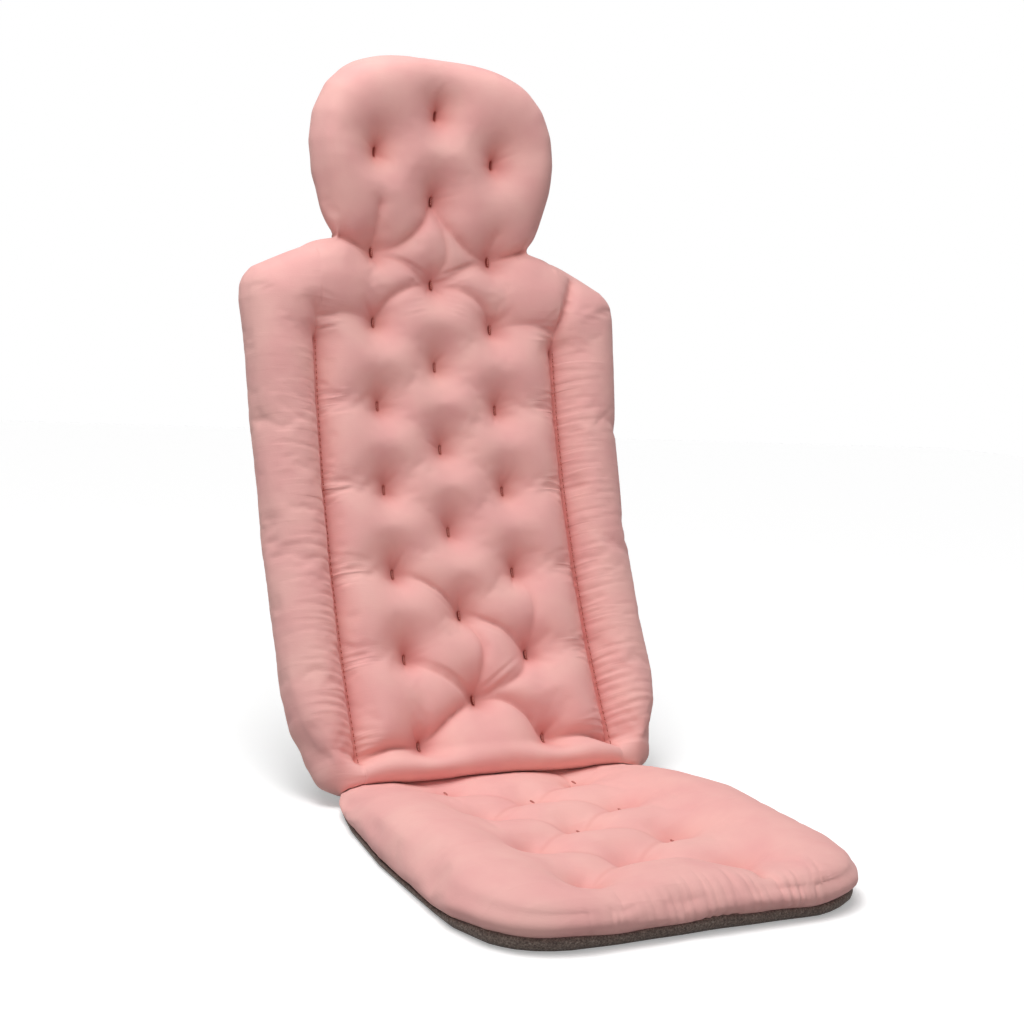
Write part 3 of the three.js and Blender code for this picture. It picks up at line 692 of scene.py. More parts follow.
# %% Wrinkle attributes
SEAT_WRINKLES = 0.12
FAN_LONG = 13
PANEL_WRINKLES = 0.75
PANEL_REACH = 22
PANEL_FADE = 9
TUBE_WRINKLES = (0.07, 0.3)
TUBE_FADE = 14
WRINKLES_ALONG = [(0, 1), (YOKE_FROM, 1), (YOKE_FROM + 30, 0.3), (NECK_AT, 0.05)]


def mark_wrinkles(pad, side):
    places = places_of(pad)
    across = np.abs(places[:, 0])
    along = places[:, 1]
    strength = np.full(len(places), SEAT_WRINKLES)
    if side > 0:
        rows = np.array([s for x, s in BACK_TACKS if x > 0])
        fans = np.exp(-((along[:, None] - rows) / FAN_LONG) ** 2).max(axis=1)
        inner = np.exp(-np.maximum(SEAM_LINE - PANEL_REACH - across, 0) / PANEL_FADE)
        panel = PANEL_WRINKLES * inner * (0.06 + 0.94 * fans)
        tube = TUBE_WRINKLES[0] + TUBE_WRINKLES[1] * np.exp(-(across - SEAM_LINE) / TUBE_FADE)
        strength = np.where(across < SEAM_LINE, panel, tube) * read_off(WRINKLES_ALONG, along)
    keep_attribute(pad, "wrinkle", strength)
    keep_attribute(pad, "flat_x", places[:, 0] * MM)
    keep_attribute(pad, "flat_s", places[:, 1] * MM)


# %% [markdown]
# The lower back rests on the seat's thin rear. The two lips of a sewn groove meet without crossing.

# %% Neighbours
# Height over the felt, and how far from the fold a pad has to stay there
FOLD_LIMITS = [(13, 1.9), (37, -58.1)]
SEAT_REAR = -60
REST_FROM = -80
REST_BELOW = 40
REST_GAP = 0.7
FLOOR_GAP = 1
# Distance out from the seat's side, and how far the floor counts there instead of the seat
BESIDE_SEAT = [(5, 0), (19, 1)]
LIP_GAP = 0.35


def keep_off_fold(places, side):
    """Keeps a pad on its own side of the rolled seam in the fold, or over it where it is high."""
    limit = read_off(FOLD_LIMITS, places[:, 2])
    places[:, 1] = side * np.maximum(side * places[:, 1], limit)
    return places


def keep_low(places):
    """Keeps the seat's rear from rising into the lower back."""
    near = places[:, 1] > SEAT_REAR
    places[:, 2] = np.where(near, np.minimum(places[:, 2], seat_crown(places)), places[:, 2])
    return places


def seat_top(places):
    """Height of the seat pad's upper face under each place, from its three nearest points."""
    cloth = places_of(seat_pad) / MM
    rear = cloth[(cloth[:, 1] > REST_FROM - 10) & (places_of(seat_pad, "normal")[:, 2] > 0)]
    away = np.hypot(places[:, :1] - rear[:, 0], places[:, 1:2] - rear[:, 1])
    nearest = np.argpartition(away, 3, axis=1)[:, :3]
    return rear[nearest, 2].max(axis=1)


def keep_off_seat(places):
    """Keeps the lower back, in the frame, just over the seat's upper face, or over the floor."""
    flat = places / MM
    over = (flat[:, 1] < -1) & (flat[:, 1] > REST_FROM) & (flat[:, 2] < REST_BELOW)
    near = flat[over]
    beside = read_off(BESIDE_SEAT, np.abs(near[:, 0]) - read_off(SEAT_SIDE, near[:, 1]))
    least = (seat_top(near) + REST_GAP) * (1 - beside) + FLOOR_GAP * beside
    flat[over, 2] = np.maximum(near[:, 2], least)
    return flat * MM


def part_lips(places, start):
    """Keeps the panel and the bolsters on their own sides of the groove between them."""
    out = np.abs(start[:, 0]) - SEAM_LINE
    grooved = (start[:, 1] < YOKE_FROM) & (np.abs(out) > 0.5)
    width = np.abs(places[:, 0])
    width = np.where(grooved & (out < 0), np.minimum(width, SEAM_LINE - LIP_GAP), width)
    width = np.where(grooved & (out > 0), np.maximum(width, SEAM_LINE + LIP_GAP), width)
    places[:, 0] = np.sign(places[:, 0]) * width
    return places


# %% [markdown]
# Every pad is finished in the same order: it is blown up in the flat, closed, smoothed, puckered
# and only then bent into place.

# %% Finish a pad
def finish_pad(pad, rim, tacks, creases, puckers, to_frame, side, spare, pressure):
    start = places_of(pad)
    blow_up(pad, spare, pressure)
    if side > 0:
        soften(pad, start)
        set_places(pad, part_lips(places_of(pad), start))
    set_places(pad, keep_off_fold(places_of(pad), side))
    close_underside(pad, rim)
    smooth_once(pad)
    press(pad, puckers)
    paint_fold_shade(pad, tacks, creases)
    mark_wrinkles(pad, side)
    flat = keep_off_fold(places_of(pad), side)
    set_places(pad, keep_off_seat(to_frame(flat)) if side > 0 else to_frame(keep_low(flat)))
    print(pad.name, len(pad.data.polygons), "faces")
    return pad


# %% [markdown]
# Seat pad. It lies flat, its crown is low and its dimples are wide and shallow. The front edge is
# gathered: the cloth was longer than the felt that it was sewn to.

# %% Seat pad
SEAT_CROWNS = [(0, 16), (30, 21.5), (100, 34), (170, 42.5), (250, 43)]
STEP = 4
ROW_STEP = PITCH / 22
SEAT_COLUMN = 188
SEAT_ROWS = 101
FRONT_ROWS = [-367, -366.3, -365, -362.8]
REAR_ROW = -14


def spread(x, kept, half, new_half):
    """Moves the columns outside a kept middle, so that the outermost, at half, gets to new_half."""
    out = abs(x)
    if out > kept:
        out = kept + (out - kept) * (new_half - kept) / (half - kept)
    return math.copysign(out, x)


def seat_warp(x, s):
    return spread(x, SIDE_TACK, SEAT_COLUMN, read_off(SEAT_SIDE, s)), s


def seat_edge(x, s):
    return FOLDED if s > REAR_ROW - 1 else SOFT


def seat_crown(places):
    """The crown, which falls to the fold, where the lower back presses on it."""
    return read_off(SEAT_CROWNS, -places[:, 1])


SEAT_CREASES = [
    crease([tack(-8, 1), (66, -330), (60, -352)], 0.3, 5, 0.6),
    crease([tack(-2, 1), (66, -36), (60, -18)], 0.3, 5, 0.6),
    *valleys(-8, -2, 0.26, 13),
]


def seat_puckers():
    """Gathers along the front edge, most of them right of the middle."""
    rng = np.random.default_rng(5)
    for x in np.arange(-120, 135, 8):
        strong = np.interp(x, [-120, -60, 0, 110, 135], [0.15, 0.35, 1, 1, 0.4])
        start = x + rng.uniform(-2, 2)
        long = rng.uniform(16, 36) * (0.5 + 0.5 * strong)
        yield (start, -378, start + rng.uniform(-5, 5), -376 + long,
               strong * rng.uniform(0.7, 1.4), rng.uniform(1.8, 2.6))


def make_seat_pad():
    columns = np.arange(-SEAT_COLUMN, SEAT_COLUMN + 0.1, STEP)
    level = np.arange(FIRST_TACK - SEAT_ROWS * ROW_STEP, REAR_ROW - 2, ROW_STEP)
    rows = np.concatenate([FRONT_ROWS, level, [REAR_ROW]])
    pad, rim = upper_cloth("seat_pad", columns, rows, seat_warp, seat_edge, seat_crown,
                           SEAT_TACKS, SEAT_CREASES)
    return finish_pad(pad, rim, SEAT_TACKS, SEAT_CREASES, seat_puckers(), laid, -1, -0.006, 4)


seat_pad = make_seat_pad()
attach(seat_pad, "seat")
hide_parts("seat_cover", "seat_filling")

# %% [markdown]
# Back and head. The bolsters are marked off from the panel by two deep sewn grooves that end at the
# shoulders, and the neck by short sewn lines. Between the two neck tacks nothing is sewn down, so
# the cloth stands up there as a small diamond of folds. That is why panel, bolsters, shoulders
# and pillow are one piece of cloth here, which bends over the neck.

# %% Back and head pad
BACK_CROWN = 55
BOLSTER_CROWN = 62
HEAD_CROWN = 61
PANEL_CROWNS = [(0, BACK_CROWN + 4), (60, BACK_CROWN + 2), (440, BACK_CROWN), (500, BACK_CROWN),
                (540, 48), (575, 53), (620, HEAD_CROWN + 2), (728, HEAD_CROWN + 1)]
BOLSTER_CROWNS = [(0, 60), (40, BOLSTER_CROWN), (420, BOLSTER_CROWN), (500, 54), (560, 50)]
LUMBAR_ROLL = 5
LUMBAR_LONG = 34
NOTCH_REACH = 9
BACK_COLUMN = 187
GROOVE_COLUMNS = [127.6, SEAM_LINE, 130.4]
HEAD_TACKED = BACK_TACKS + HEAD_TACKS


def back_columns():
    inner = np.arange(STEP, 125, STEP)
    outer = np.arange(134, BACK_COLUMN, STEP)
    half = np.concatenate([inner, GROOVE_COLUMNS, outer, [BACK_COLUMN]])
    return np.concatenate([-half[::-1], [0], half])


def back_warp(x, s):
    if s > SHOULDER_AT + 0.1:
        if abs(x) > NECK_COLUMN:
            return None
        return x * read_off(HEAD_SIDE, s) / NECK_COLUMN, s
    across = spread(x, SEAM_LINE, BACK_COLUMN, read_off(BACK_SIDE, s))
    along = s
    if s > YOKE_FROM:
        along += (s - YOKE_FROM) / (SHOULDER_AT - YOKE_FROM) * (shoulder_at(across) - SHOULDER_AT)
    return across, along


LOWER_EDGE_TO = 45
BOLSTER_END = [(122, 0), (142, 1)]
CORNER_AT = (146, 14)
CORNER_SHARES = [(0, 0), (13, 0.35), (24, 0.7), (60, 1)]


def back_edge(x, s):
    """The lower edge rests on the seat, the bolsters reach further down, and corners are round."""
    if s < LOWER_EDGE_TO:
        low = mixed(RESTING, ENDED, read_off(BOLSTER_END, abs(x)))
        corner = abs(x) - CORNER_AT[0] + 2 * (s - CORNER_AT[1])
        return mixed(low, ROLLED, read_off(CORNER_SHARES, corner))
    if s > SHOULDER_AT + 22:
        return SOFT
    if math.hypot(abs(x) - NECK_COLUMN, s - SHOULDER_AT) < NOTCH_REACH:
        return NOTCHED
    return ROLLED


def back_crown(places):
    along = places[:, 1]
    panel = read_off(PANEL_CROWNS, along) + LUMBAR_ROLL * np.exp(-(along / LUMBAR_LONG) ** 2)
    return np.where(np.abs(places[:, 0]) > SEAM_LINE, read_off(BOLSTER_CROWNS, along), panel)


def both_sides(line, *rest):
    return [crease(line, *rest), crease([(-x, s) for x, s in line], *rest)]


def side_valleys():
    """Round valleys from each side tack out to the groove."""
    for row in range(2, 12, 2):
        s = row_at(row)
        yield from both_sides([(SIDE_TACK + 4, s), (SEAM_LINE - 4, s)], 0.1, 15, 0)


GROOVE = [(SEAM_LINE, 200), (SEAM_LINE, YOKE_FROM)]
NECK_SIDE = (SIDE_TACK, NECK_TACK)
NECK_OTHER = (-SIDE_TACK, NECK_TACK)
BACK_CREASES = [
    *valleys(3, 11, 0.07, 16),
    *both_sides([(SEAM_LINE, 30), (SEAM_LINE, 200), (SEAM_LINE, YOKE_FROM - 10)], 0.26, 24, 0),
    *side_valleys(),
    *both_sides([(SEAM_LINE, 16), *GROOVE], 0.64, 10, 1),
    *both_sides([(103, 545), (84, 538), NECK_SIDE], 0.66, 7, 1),
    *both_sides([NECK_SIDE, (38, 540), (14, 562), tack(13)], 0.42, 6, 0.9),
    *both_sides([NECK_SIDE, (40, 524), (14, 510), tack(11)], 0.34, 6, 0.8),
    *both_sides([tack(11), (28, 497), (52, 482), tack(10, 1)], 0.34, 6, 0.8),
    *both_sides([tack(10, 1), (96, 464), (126, 458)], 0.16, 5, 0.3),
    crease([(SEAM_LINE, YOKE_FROM), (131, 462), (141, 490), (149, 512)], 0.3, 5, 0.9),
    crease([(-SEAM_LINE, YOKE_FROM), (-129, 452), (-133, 466)], 0.2, 5, 0.4),
    crease([tack(13), (6, 560), (12, 530), tack(11)], 0.16, 4, 0.5),
    crease([NECK_OTHER, (-63, 552), (-62, 578)], 0.26, 4, 0.7),
    crease([NECK_SIDE, (64, 545), (66, 556)], 0.2, 4, 0.5),
    crease([tack(4, -1), (-36, 190), tack(3)], 0.2, 5, 0.5),
    crease([tack(3), (30, 146), tack(2, 1)], 0.28, 5, 0.7),
    crease([tack(2, -1), (-36, 98), tack(1)], 0.28, 5, 0.7),
    crease([tack(2, 1), (44, 92), tack(1)], 0.28, 5, 0.7),
    crease([tack(3), (12, 122), tack(1)], 0.26, 4, 0.7),
    crease([tack(4, 1), (72, 170), tack(2, 1)], 0.16, 5, 0.3),
    crease([(-127, 21), (-100, 28), tack(0, -1), (-32, 56), tack(1)], 0.5, 7, 1),
    crease([tack(1), (24, 72), (46, 54), tack(0, 1), (98, 29), (127, 21)], 0.5, 7, 1),
]


# Creases with thinner ones beside them, from the end near the middle outwards
DOUBLED = [((-8, 80), (-56, 112)), ((8, 80), (54, 112)), ((8, 156), (54, 126)),
           ((-8, 165), (-54, 198)), ((-8, 508), (-52, 526)), ((8, 508), (52, 526))]


def back_puckers():
    """Puckers between the grooves and the side tacks, and short ones round each tack."""
    rng = np.random.default_rng(11)
    for side in (-1, 1):
        for row in range(0, 11, 2):
            centre = row_at(row)
            for k in range(-3, 4):
                s = centre + k * rng.uniform(5, 7.5)
                reach = rng.uniform(20, 44) - 3 * abs(k)
                deep = rng.uniform(0.5, 1.2) * (1 - 0.12 * abs(k))
                yield (side * (SEAM_LINE - 2), s, side * (SEAM_LINE - reach),
                       centre + 0.55 * (s - centre), deep, rng.uniform(1.7, 2.4))
    for x, s in HEAD_TACKED:
        for angle in rng.uniform(0, 2 * math.pi, 3):
            reach = rng.uniform(14, 24)
            yield (x + 4 * math.cos(angle), s + 6 * math.sin(angle),
                   x + reach * math.cos(angle), s + reach * math.sin(angle), rng.uniform(0.3, 0.7), 2)
    for side in (-1, 1):
        for s in np.arange(510, 470, -6):
            yield (side * 14, s - 2, side * rng.uniform(28, 40), s - rng.uniform(4, 10), 0.5, 1.8)
    for (x0, s0), (x1, s1) in DOUBLED:
        for off, deep in ((5, 1.1), (-5, 0.7)):
            yield (x0, s0 + off, x1, s1 + off, deep, 1.7)
    for side in (1, -1):
        yield from bolster_puckers(side)


def bolster_puckers(side):
    """Level wrinkles across a bolster, closer together low down."""
    rng = np.random.default_rng(30 + side)
    s = 18.0
    while s < 430:
        dense = np.interp(s, [0, 200, 430], [1, 0.7, 0.5])
        seam = SEAM_LINE + 2
        reach = rng.uniform(12, 48)
        yield (side * seam, s, side * (seam + reach), s + rng.uniform(-3, 3),
               dense * rng.uniform(0.4, 1.0), rng.uniform(1.7, 2.5))
        if rng.random() < 0.5 * dense:
            start = rng.uniform(18, 34)
            yield (side * (seam + start), s + 3, side * (seam + start + rng.uniform(18, 34)),
                   s + rng.uniform(0, 6), dense * rng.uniform(0.3, 0.7), 2.2)
        s += rng.uniform(6, 10) / dense


def make_back_pad():
    level = np.arange(FIRST_TACK - 4 * ROW_STEP, 717, ROW_STEP)
    rows = np.concatenate([[14], level, [719, 721, 722.3, 723]])
    pad, rim = upper_cloth("back_and_head_pad", back_columns(), rows, back_warp, back_edge, back_crown,
                           HEAD_TACKED, BACK_CREASES)
    return finish_pad(pad, rim, HEAD_TACKED, BACK_CREASES, back_puckers(), bent, 1, -0.01, 5)


back_pad = make_back_pad()
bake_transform(back_pad)
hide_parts("back_panel_cover", "back_panel_filling", "head_cover", "head_filling")
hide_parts("left_bolster_cover", "left_bolster_filling")
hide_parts("right_bolster_cover", "right_bolster_filling")

# %% [markdown]
# Felt backing. Under each pad lies a thick needled felt, sewn to the cloth round the edge. Its rim
# bulges a little below the seam, and it waves along the seat's front edge.

# %% Felt
FELT_RINGS = [(-8, 0), (-3, 0.09), (-0.5, 0.38), (0.4, 0.68), (-0.6, 0.92), (-3, 1), (-9, 0.4)]
FELT_RIM = 8
FELT_COLUMNS = 61
FELT_ROW = 6.5
FELT_LIFT = 0.2
FELT_TOP = 2.8
NEAR_END = np.array([0, 0.8, 2.4, 4.6])


def felt_half(outline, s):
    """Half width of the felt's flat middle, which lies inside the outline all round."""
    ends = min(read_off(outline, s - 6), read_off(outline, s + 6))
    return min(read_off(outline, s) - FELT_RIM, ends - 4)


def make_felt(name, outline, first, last, tacks, to_frame, inset):
    rows = np.concatenate([first + NEAR_END, np.arange(first + 7, last - 6, FELT_ROW),
                           last - NEAR_END[::-1]])
    columns = np.linspace(-1, 1, FELT_COLUMNS)
    shape = grid_on(columns, rows, lambda u, s: (u * (felt_half(outline, s) - inset), s))
    loop = border_of(shape)
    out = outwards(loop)
    border = level_places(loop)
    top = seam_heights(border) - 0.7
    for point in shape.verts:
        x, s, _ = point.co
        dimple = sum(math.exp(-((x - tx) ** 2 + (s - ts) ** 2) / 90) for tx, ts in tacks)
        point.co.z = FELT_LIFT + 0.9 * min(1, dimple)
    for reach, share in FELT_RINGS:
        loop = ring_below(shape, loop)
        for k, point in enumerate(loop):
            x, s = border[k] + out[k] * (FELT_RIM + reach * top[k] / 9)
            point.co = (x, s, FELT_LIFT + (top[k] - FELT_LIFT) * share)
    close_flat(shape, loop, lambda x, s: FELT_TOP)
    return as_object(name, shape, to_frame)


SEAT_FELT_SIDE = [(at, half + 1) for at, half in SEAT_SIDE] + [(0, 124)]
BACK_FELT_SIDE = [*[(at, half) for at, half in BACK_SIDE if at <= 500], (541, 106), (546, 105)]
HEAD_FELT_SIDE = [(546, 104), *[(at, half) for at, half in HEAD_SIDE if at > 550]]
felts = [
    make_felt("seat_felt", SEAT_FELT_SIDE, -360, -10, SEAT_TACKS, laid, 0),
    make_felt("back_felt", BACK_FELT_SIDE, 10, NECK_AT - 15, BACK_TACKS, bent, 3),
    make_felt("head_felt", HEAD_FELT_SIDE, NECK_AT + 15, 713, HEAD_TACKS, bent, 3),
]
for felt, body in zip(felts, ("seat", "back", "head")):
    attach(felt, body)
    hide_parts(body + "_backing")
    print(felt.name, len(felt.data.polygons), "faces")

# %% [markdown]
# Tacks. Each is a short bar of wound thread: one in the pit of the dimple, and one on the felt.

# %% Thread tacks
TACK_BARS = [(15.5, Vector((1.1, 4.6, 0.8))), (0.9, Vector((1.4, 6.5, 0.8)))]


def make_bars(name, bars, to_frame):
    """One object of many short bars of thread, each given as its place and its half sizes."""
    shape = bmesh.new()
    for place, size in bars:
        made = bmesh.ops.create_icosphere(shape, subdivisions=2, radius=1)["verts"]
        for point in made:
            x, y, z = point.co
            twist = 1 + 0.12 * math.sin(14 * y)
            point.co = Vector((x * size.x * twist, y * size.y, z * size.z * twist))
        bmesh.ops.translate(shape, verts=made, vec=place)
    return as_object(name, shape, to_frame)


thread_pieces = []
for body, stem, tacks, to_frame in (("seat", "seat", SEAT_TACKS, laid),
                                    ("back", "back_panel", BACK_TACKS, bent),
                                    ("head", "head", HEAD_TACKS, bent)):
    places = [((x, s, height), size) for x, s in tacks for height, size in TACK_BARS]
    bars = make_bars(body + "_tacks", places, to_frame)
    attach(bars, body)
    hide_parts(*[f"{stem}_tie_{k + 1:02d}" for k in range(len(tacks))])
    thread_pieces.append(bars)

# %% [markdown]
# Stitches. The two sewn lines beside the panel lie deep between the pads. Each stitch is a short
# bead of thread, a few millimetres long.

# %% Stitched lines
STITCH_SIZE = Vector((0.5, 2.1, 0.8))
STITCH_PITCH = 6.2
STITCH_HEIGHT = 28

for name, side in (("left_bolster", 1), ("right_bolster", -1)):
    places = [((side * SEAM_LINE, s, STITCH_HEIGHT), STITCH_SIZE)
              for s in np.arange(20, YOKE_FROM, STITCH_PITCH)]
    line = make_bars(name + "_stitches", places, bent)
    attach(line, "back")
    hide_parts(name + "_stitching")
    thread_pieces.append(line)

print(len(thread_pieces), "pieces of thread")

# %% [markdown]
# Materials are node trees, so a short helper adds a node with its settings and links, and another
# turns a colour as it is picked from a picture into the linear numbers that light works in.

# %% Material helpers
def linear(code):
    """An sRGB hex colour as linear red, green and blue."""
    found = []
    for k in (1, 3, 5):
        value = int(code[k:k + 2], 16) / 255
        found.append(value / 12.92 if value <= 0.04045 else ((value + 0.055) / 1.055) ** 2.4)
    return (*found, 1)


def add_node(tree, kind, settings=None, **inputs):
    """Adds a node. Settings are its own values, and inputs are numbers or links by socket name."""
    node = tree.nodes.new(kind)
    for key, value in (settings or {}).items():
        setattr(node, key, value)
    for key, value in inputs.items():
        socket = node.inputs[int(key[1:])] if key[1:].isdigit() else node.inputs[key.replace("_", " ")]
        if isinstance(value, bpy.types.NodeSocket):
            tree.links.new(value, socket)
        else:
            socket.default_value = value
    return node


def new_material(name):
    material = bpy.data.materials.new(name)
    material.use_nodes = True
    material.node_tree.nodes.clear()
    return material, material.node_tree


def own_places(tree):
    """Places in metres on the object itself, which a pose doesn't change."""
    return add_node(tree, "ShaderNodeTexCoord").outputs["Object"]


def attribute(tree, name):
    return add_node(tree, "ShaderNodeAttribute", dict(attribute_name=name)).outputs["Fac"]


def noise(tree, place, scale, detail, **more):
    return add_node(tree, "ShaderNodeTexNoise", Vector=place, Scale=scale, Detail=detail,
                    **more).outputs["Fac"]


def drawn_out(tree, place, *scale):
    return add_node(tree, "ShaderNodeMapping", Vector=place, Scale=scale).outputs["Vector"]


def combined(tree, how, first, second):
    return add_node(tree, "ShaderNodeMath", dict(operation=how), _0=first, _1=second).outputs["Value"]


def blended(tree, share, first, second):
    """A colour between two."""
    return add_node(tree, "ShaderNodeMix", dict(data_type="RGBA"), Factor=share, _6=first,
                    _7=second).outputs[2]


def bump(tree, height, strength, distance, **more):
    return add_node(tree, "ShaderNodeBump", Height=height, Strength=strength, Distance=distance,
                    **more).outputs["Normal"]


def ramp(tree, factor, stops):
    """A colour ramp with the given (place, hex colour) stops."""
    node = add_node(tree, "ShaderNodeValToRGB", Fac=factor)
    node.color_ramp.elements[0].position = stops[0][0]
    node.color_ramp.elements[0].color = linear(stops[0][1])
    node.color_ramp.elements[1].position = stops[-1][0]
    node.color_ramp.elements[1].color = linear(stops[-1][1])
    for place, code in stops[1:-1]:
        node.color_ramp.elements.new(place).color = linear(code)
    return node.outputs["Color"]


def add_surface(tree, **inputs):
    """The shader of a material, and its output."""
    shader = add_node(tree, "ShaderNodeBsdfPrincipled", **inputs)
    add_node(tree, "ShaderNodeOutputMaterial", Surface=shader.outputs["BSDF"])


# %% [markdown]
# Brushed polyester microfibre. Its face is brushed, so it has a short soft nap: matt, a little
# lighter at a grazing angle, with faint level streaks where the nap lies one way or the other.
# The real weave is about 0.2 mm, too fine to show here, so the streaks are drawn 1 mm apart.

# %% Brushed microfibre
CLOTH_PINK = "#efb1ad"
CLOTH_LIGHT = "#f4bcb5"
# The next two colours are painted shade: one for dimples and creases, one for the tack slits.
PAINTED_FOLD_SHADE = "#c9675c"
PAINTED_SLIT_SHADE = "#7e352e"
CLOTH_SHEEN = "#ffe4e0"


def level_wrinkles(tree):
    """Bump of the fine wrinkles: long across the cushion, and 3 to 6 mm apart along it."""
    flat = add_node(tree, "ShaderNodeCombineXYZ", X=attribute(tree, "flat_x"), Y=attribute(tree, "flat_s"))
    place = drawn_out(tree, flat.outputs["Vector"], 17.0, 105.0, 1.0)
    folds = noise(tree, place, 1.0, 1.5, Distortion=0.4)
    sharp = add_node(tree, "ShaderNodeMapRange", dict(interpolation_type="SMOOTHSTEP"), Value=folds,
                     From_Min=0.45, From_Max=0.75)
    height = combined(tree, "MULTIPLY", sharp.outputs["Result"], attribute(tree, "wrinkle"))
    return bump(tree, height, 0.9, 0.0022)


def brushed_microfibre():
    material, tree = new_material("brushed microfibre")
    place = own_places(tree)
    base = ramp(tree, noise(tree, place, 22.0, 3.0), [(0.35, CLOTH_PINK), (0.65, CLOTH_LIGHT)])
    # Painted shade from the attribute: the colour is darker in dimples and creases, and darkest in the
    # tack slits.
    painted_shade = attribute(tree, "painted_shade")
    deep = blended(tree, painted_shade, base, linear(PAINTED_FOLD_SHADE))
    inner = add_node(tree, "ShaderNodeMapRange", Value=painted_shade, From_Min=0.55, From_Max=1.0)
    colour = blended(tree, inner.outputs["Result"], deep, linear(PAINTED_SLIT_SHADE))
    streaks = noise(tree, drawn_out(tree, place, 160.0, 160.0, 1000.0), 1.0, 2.0)
    nap = noise(tree, place, 1400.0, 2.0)
    normal = bump(tree, combined(tree, "ADD", streaks, nap), 0.16, 0.0006, Normal=level_wrinkles(tree))
    add_surface(tree, Base_Color=colour, Roughness=0.82, Specular_IOR_Level=0.25, Normal=normal,
                Sheen_Weight=0.25, Sheen_Roughness=0.45, Sheen_Tint=linear(CLOTH_SHEEN))
    return material


# %% [markdown]
# Needled wool-look felt. Short grey and brown fibres are punched together, so the surface is
# heathered and rough, with tufts of 1 to 3 mm and no gloss.

# %% Needled felt
FELT_COLOURS = [(0.3, "#544843"), (0.48, "#7b6c65"), (0.6, "#97877d"), (0.72, "#c0b3a7")]


def needled_felt():
    material, tree = new_material("needled felt")
    place = own_places(tree)
    colour = ramp(tree, noise(tree, place, 620.0, 4.0, Roughness=0.7), FELT_COLOURS)
    normal = bump(tree, noise(tree, place, 300.0, 5.0), 0.7, 0.0018)
    add_surface(tree, Base_Color=colour, Roughness=0.95, Specular_IOR_Level=0.15, Sheen_Weight=0.15,
                Normal=normal)
    return material


# %% [markdown]
# Spun polyester sewing thread, dyed a tone deeper than the cloth. Two plies are twisted together
# with a turn every millimetre or so, which shows as slanting ridges.

# %% Sewing thread
THREAD_COLOURS = [(0.2, "#9c4f46"), (0.8, "#cf8278")]


def sewing_thread():
    material, tree = new_material("polyester thread")
    place = own_places(tree)
    plies = add_node(tree, "ShaderNodeTexWave", dict(bands_direction="DIAGONAL"), Vector=place,
                     Scale=280.0, Distortion=1.5).outputs["Fac"]
    add_surface(tree, Base_Color=ramp(tree, plies, THREAD_COLOURS), Roughness=0.6,
                Normal=bump(tree, plies, 0.5, 0.0003))
    return material


def dress(material, pieces):
    for piece in pieces:
        piece.data.materials.clear()
        piece.data.materials.append(material)


dress(brushed_microfibre(), [seat_pad, back_pad])
dress(needled_felt(), felts)
dress(sewing_thread(), [*thread_pieces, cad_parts["fold_seam"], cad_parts["neck_seam"]])
print("pads and felts in", [piece.data.materials[0].name for piece in (seat_pad, back_pad, *felts)])

# %% [markdown]
# The set is a white floor in even light, as in a catalogue picture. The floor is drawn white for
# the camera, and still takes the cushion's soft shadow.

# %% Floor, world and lamps
WHITE = (1.0, 1.0, 1.0, 1.0)
FLOOR_SIZE = 6
FLOOR_GLOW = 0.32


def seen_and_lighting(tree, seen, lighting):
    """One shader for rays that show the set, straight or in metal or glass, and one for its light."""
    paths = add_node(tree, "ShaderNodeLightPath").outputs
    straight = combined(tree, "MAXIMUM", paths["Is Camera Ray"], paths["Is Glossy Ray"])
    shown = combined(tree, "MAXIMUM", straight, paths["Is Transmission Ray"])
    return add_node(tree, "ShaderNodeMixShader", Fac=shown, _1=lighting, _2=seen).outputs["Shader"]


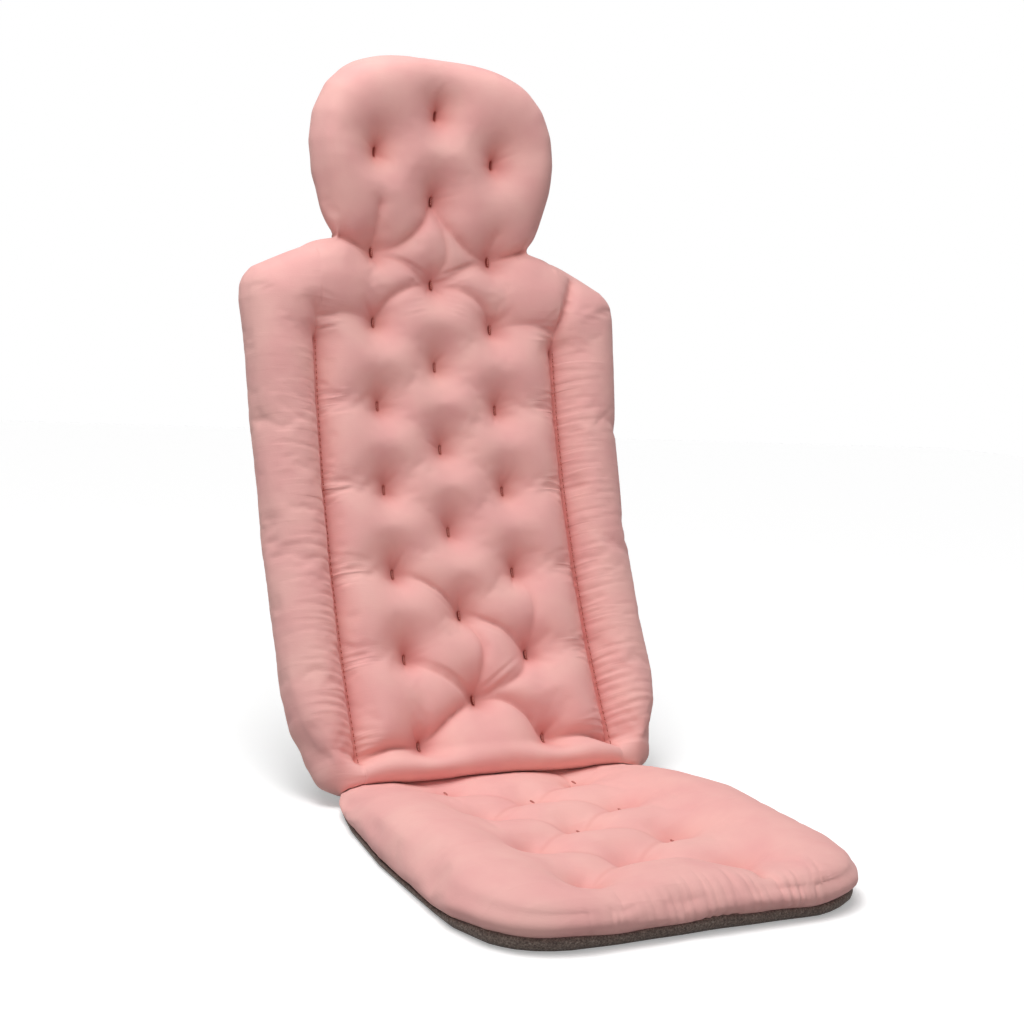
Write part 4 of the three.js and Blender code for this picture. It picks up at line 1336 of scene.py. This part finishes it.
def add_floor():
    shape = bmesh.new()
    bmesh.ops.create_grid(shape, x_segments=1, y_segments=1, size=FLOOR_SIZE)
    floor = as_object("floor", shape)
    material, tree = new_material("white floor")
    matt = add_node(tree, "ShaderNodeBsdfDiffuse", Color=(0.86, 0.86, 0.86, 1.0))
    glow = add_node(tree, "ShaderNodeEmission", Color=WHITE, Strength=FLOOR_GLOW)
    lit = add_node(tree, "ShaderNodeAddShader", _0=matt.outputs["BSDF"], _1=glow.outputs["Emission"])
    dull = add_node(tree, "ShaderNodeBsdfDiffuse", Color=(0.4, 0.4, 0.4, 1.0))
    both = seen_and_lighting(tree, lit.outputs["Shader"], dull.outputs["BSDF"])
    add_node(tree, "ShaderNodeOutputMaterial", Surface=both)
    dress(material, [floor])


def set_world(fill):
    world = bpy.data.worlds.new("studio")
    world.use_nodes = True
    tree = world.node_tree
    tree.nodes.clear()
    light = add_node(tree, "ShaderNodeBackground", Color=WHITE, Strength=fill)
    white = add_node(tree, "ShaderNodeBackground", Color=WHITE, Strength=1.0)
    both = seen_and_lighting(tree, white.outputs["Background"], light.outputs["Background"])
    add_node(tree, "ShaderNodeOutputWorld", Surface=both)
    bpy.context.scene.world = world


def add_lamp(name, kind, towards, power, at=(0, 0, 0)):
    """A lamp at a place, whose light comes from the direction given. Returns its data."""
    data = bpy.data.lights.new(name, kind)
    data.energy = power
    lamp = in_scene(name, data)
    lamp.location = at
    lamp.rotation_euler = Vector(towards).to_track_quat("Z", "Y").to_euler()
    return data


HEAD_LAMP_AT = Vector((-0.3, -0.3, 1.15))
HEAD_AT = Vector((0, 0.2, 0.62))
add_floor()
set_world(0.25)
add_lamp("overhead softbox", "SUN", (-0.2, 0.0, 1), 1.62).angle = math.radians(40)
add_lamp("front fill", "SUN", (-0.8, -0.9, 0.35), 0.22).angle = math.radians(60)
add_lamp("head softbox", "AREA", HEAD_LAMP_AT - HEAD_AT, 3.5, HEAD_LAMP_AT).size = 0.4
bpy.context.scene.view_settings.view_transform = "Standard"
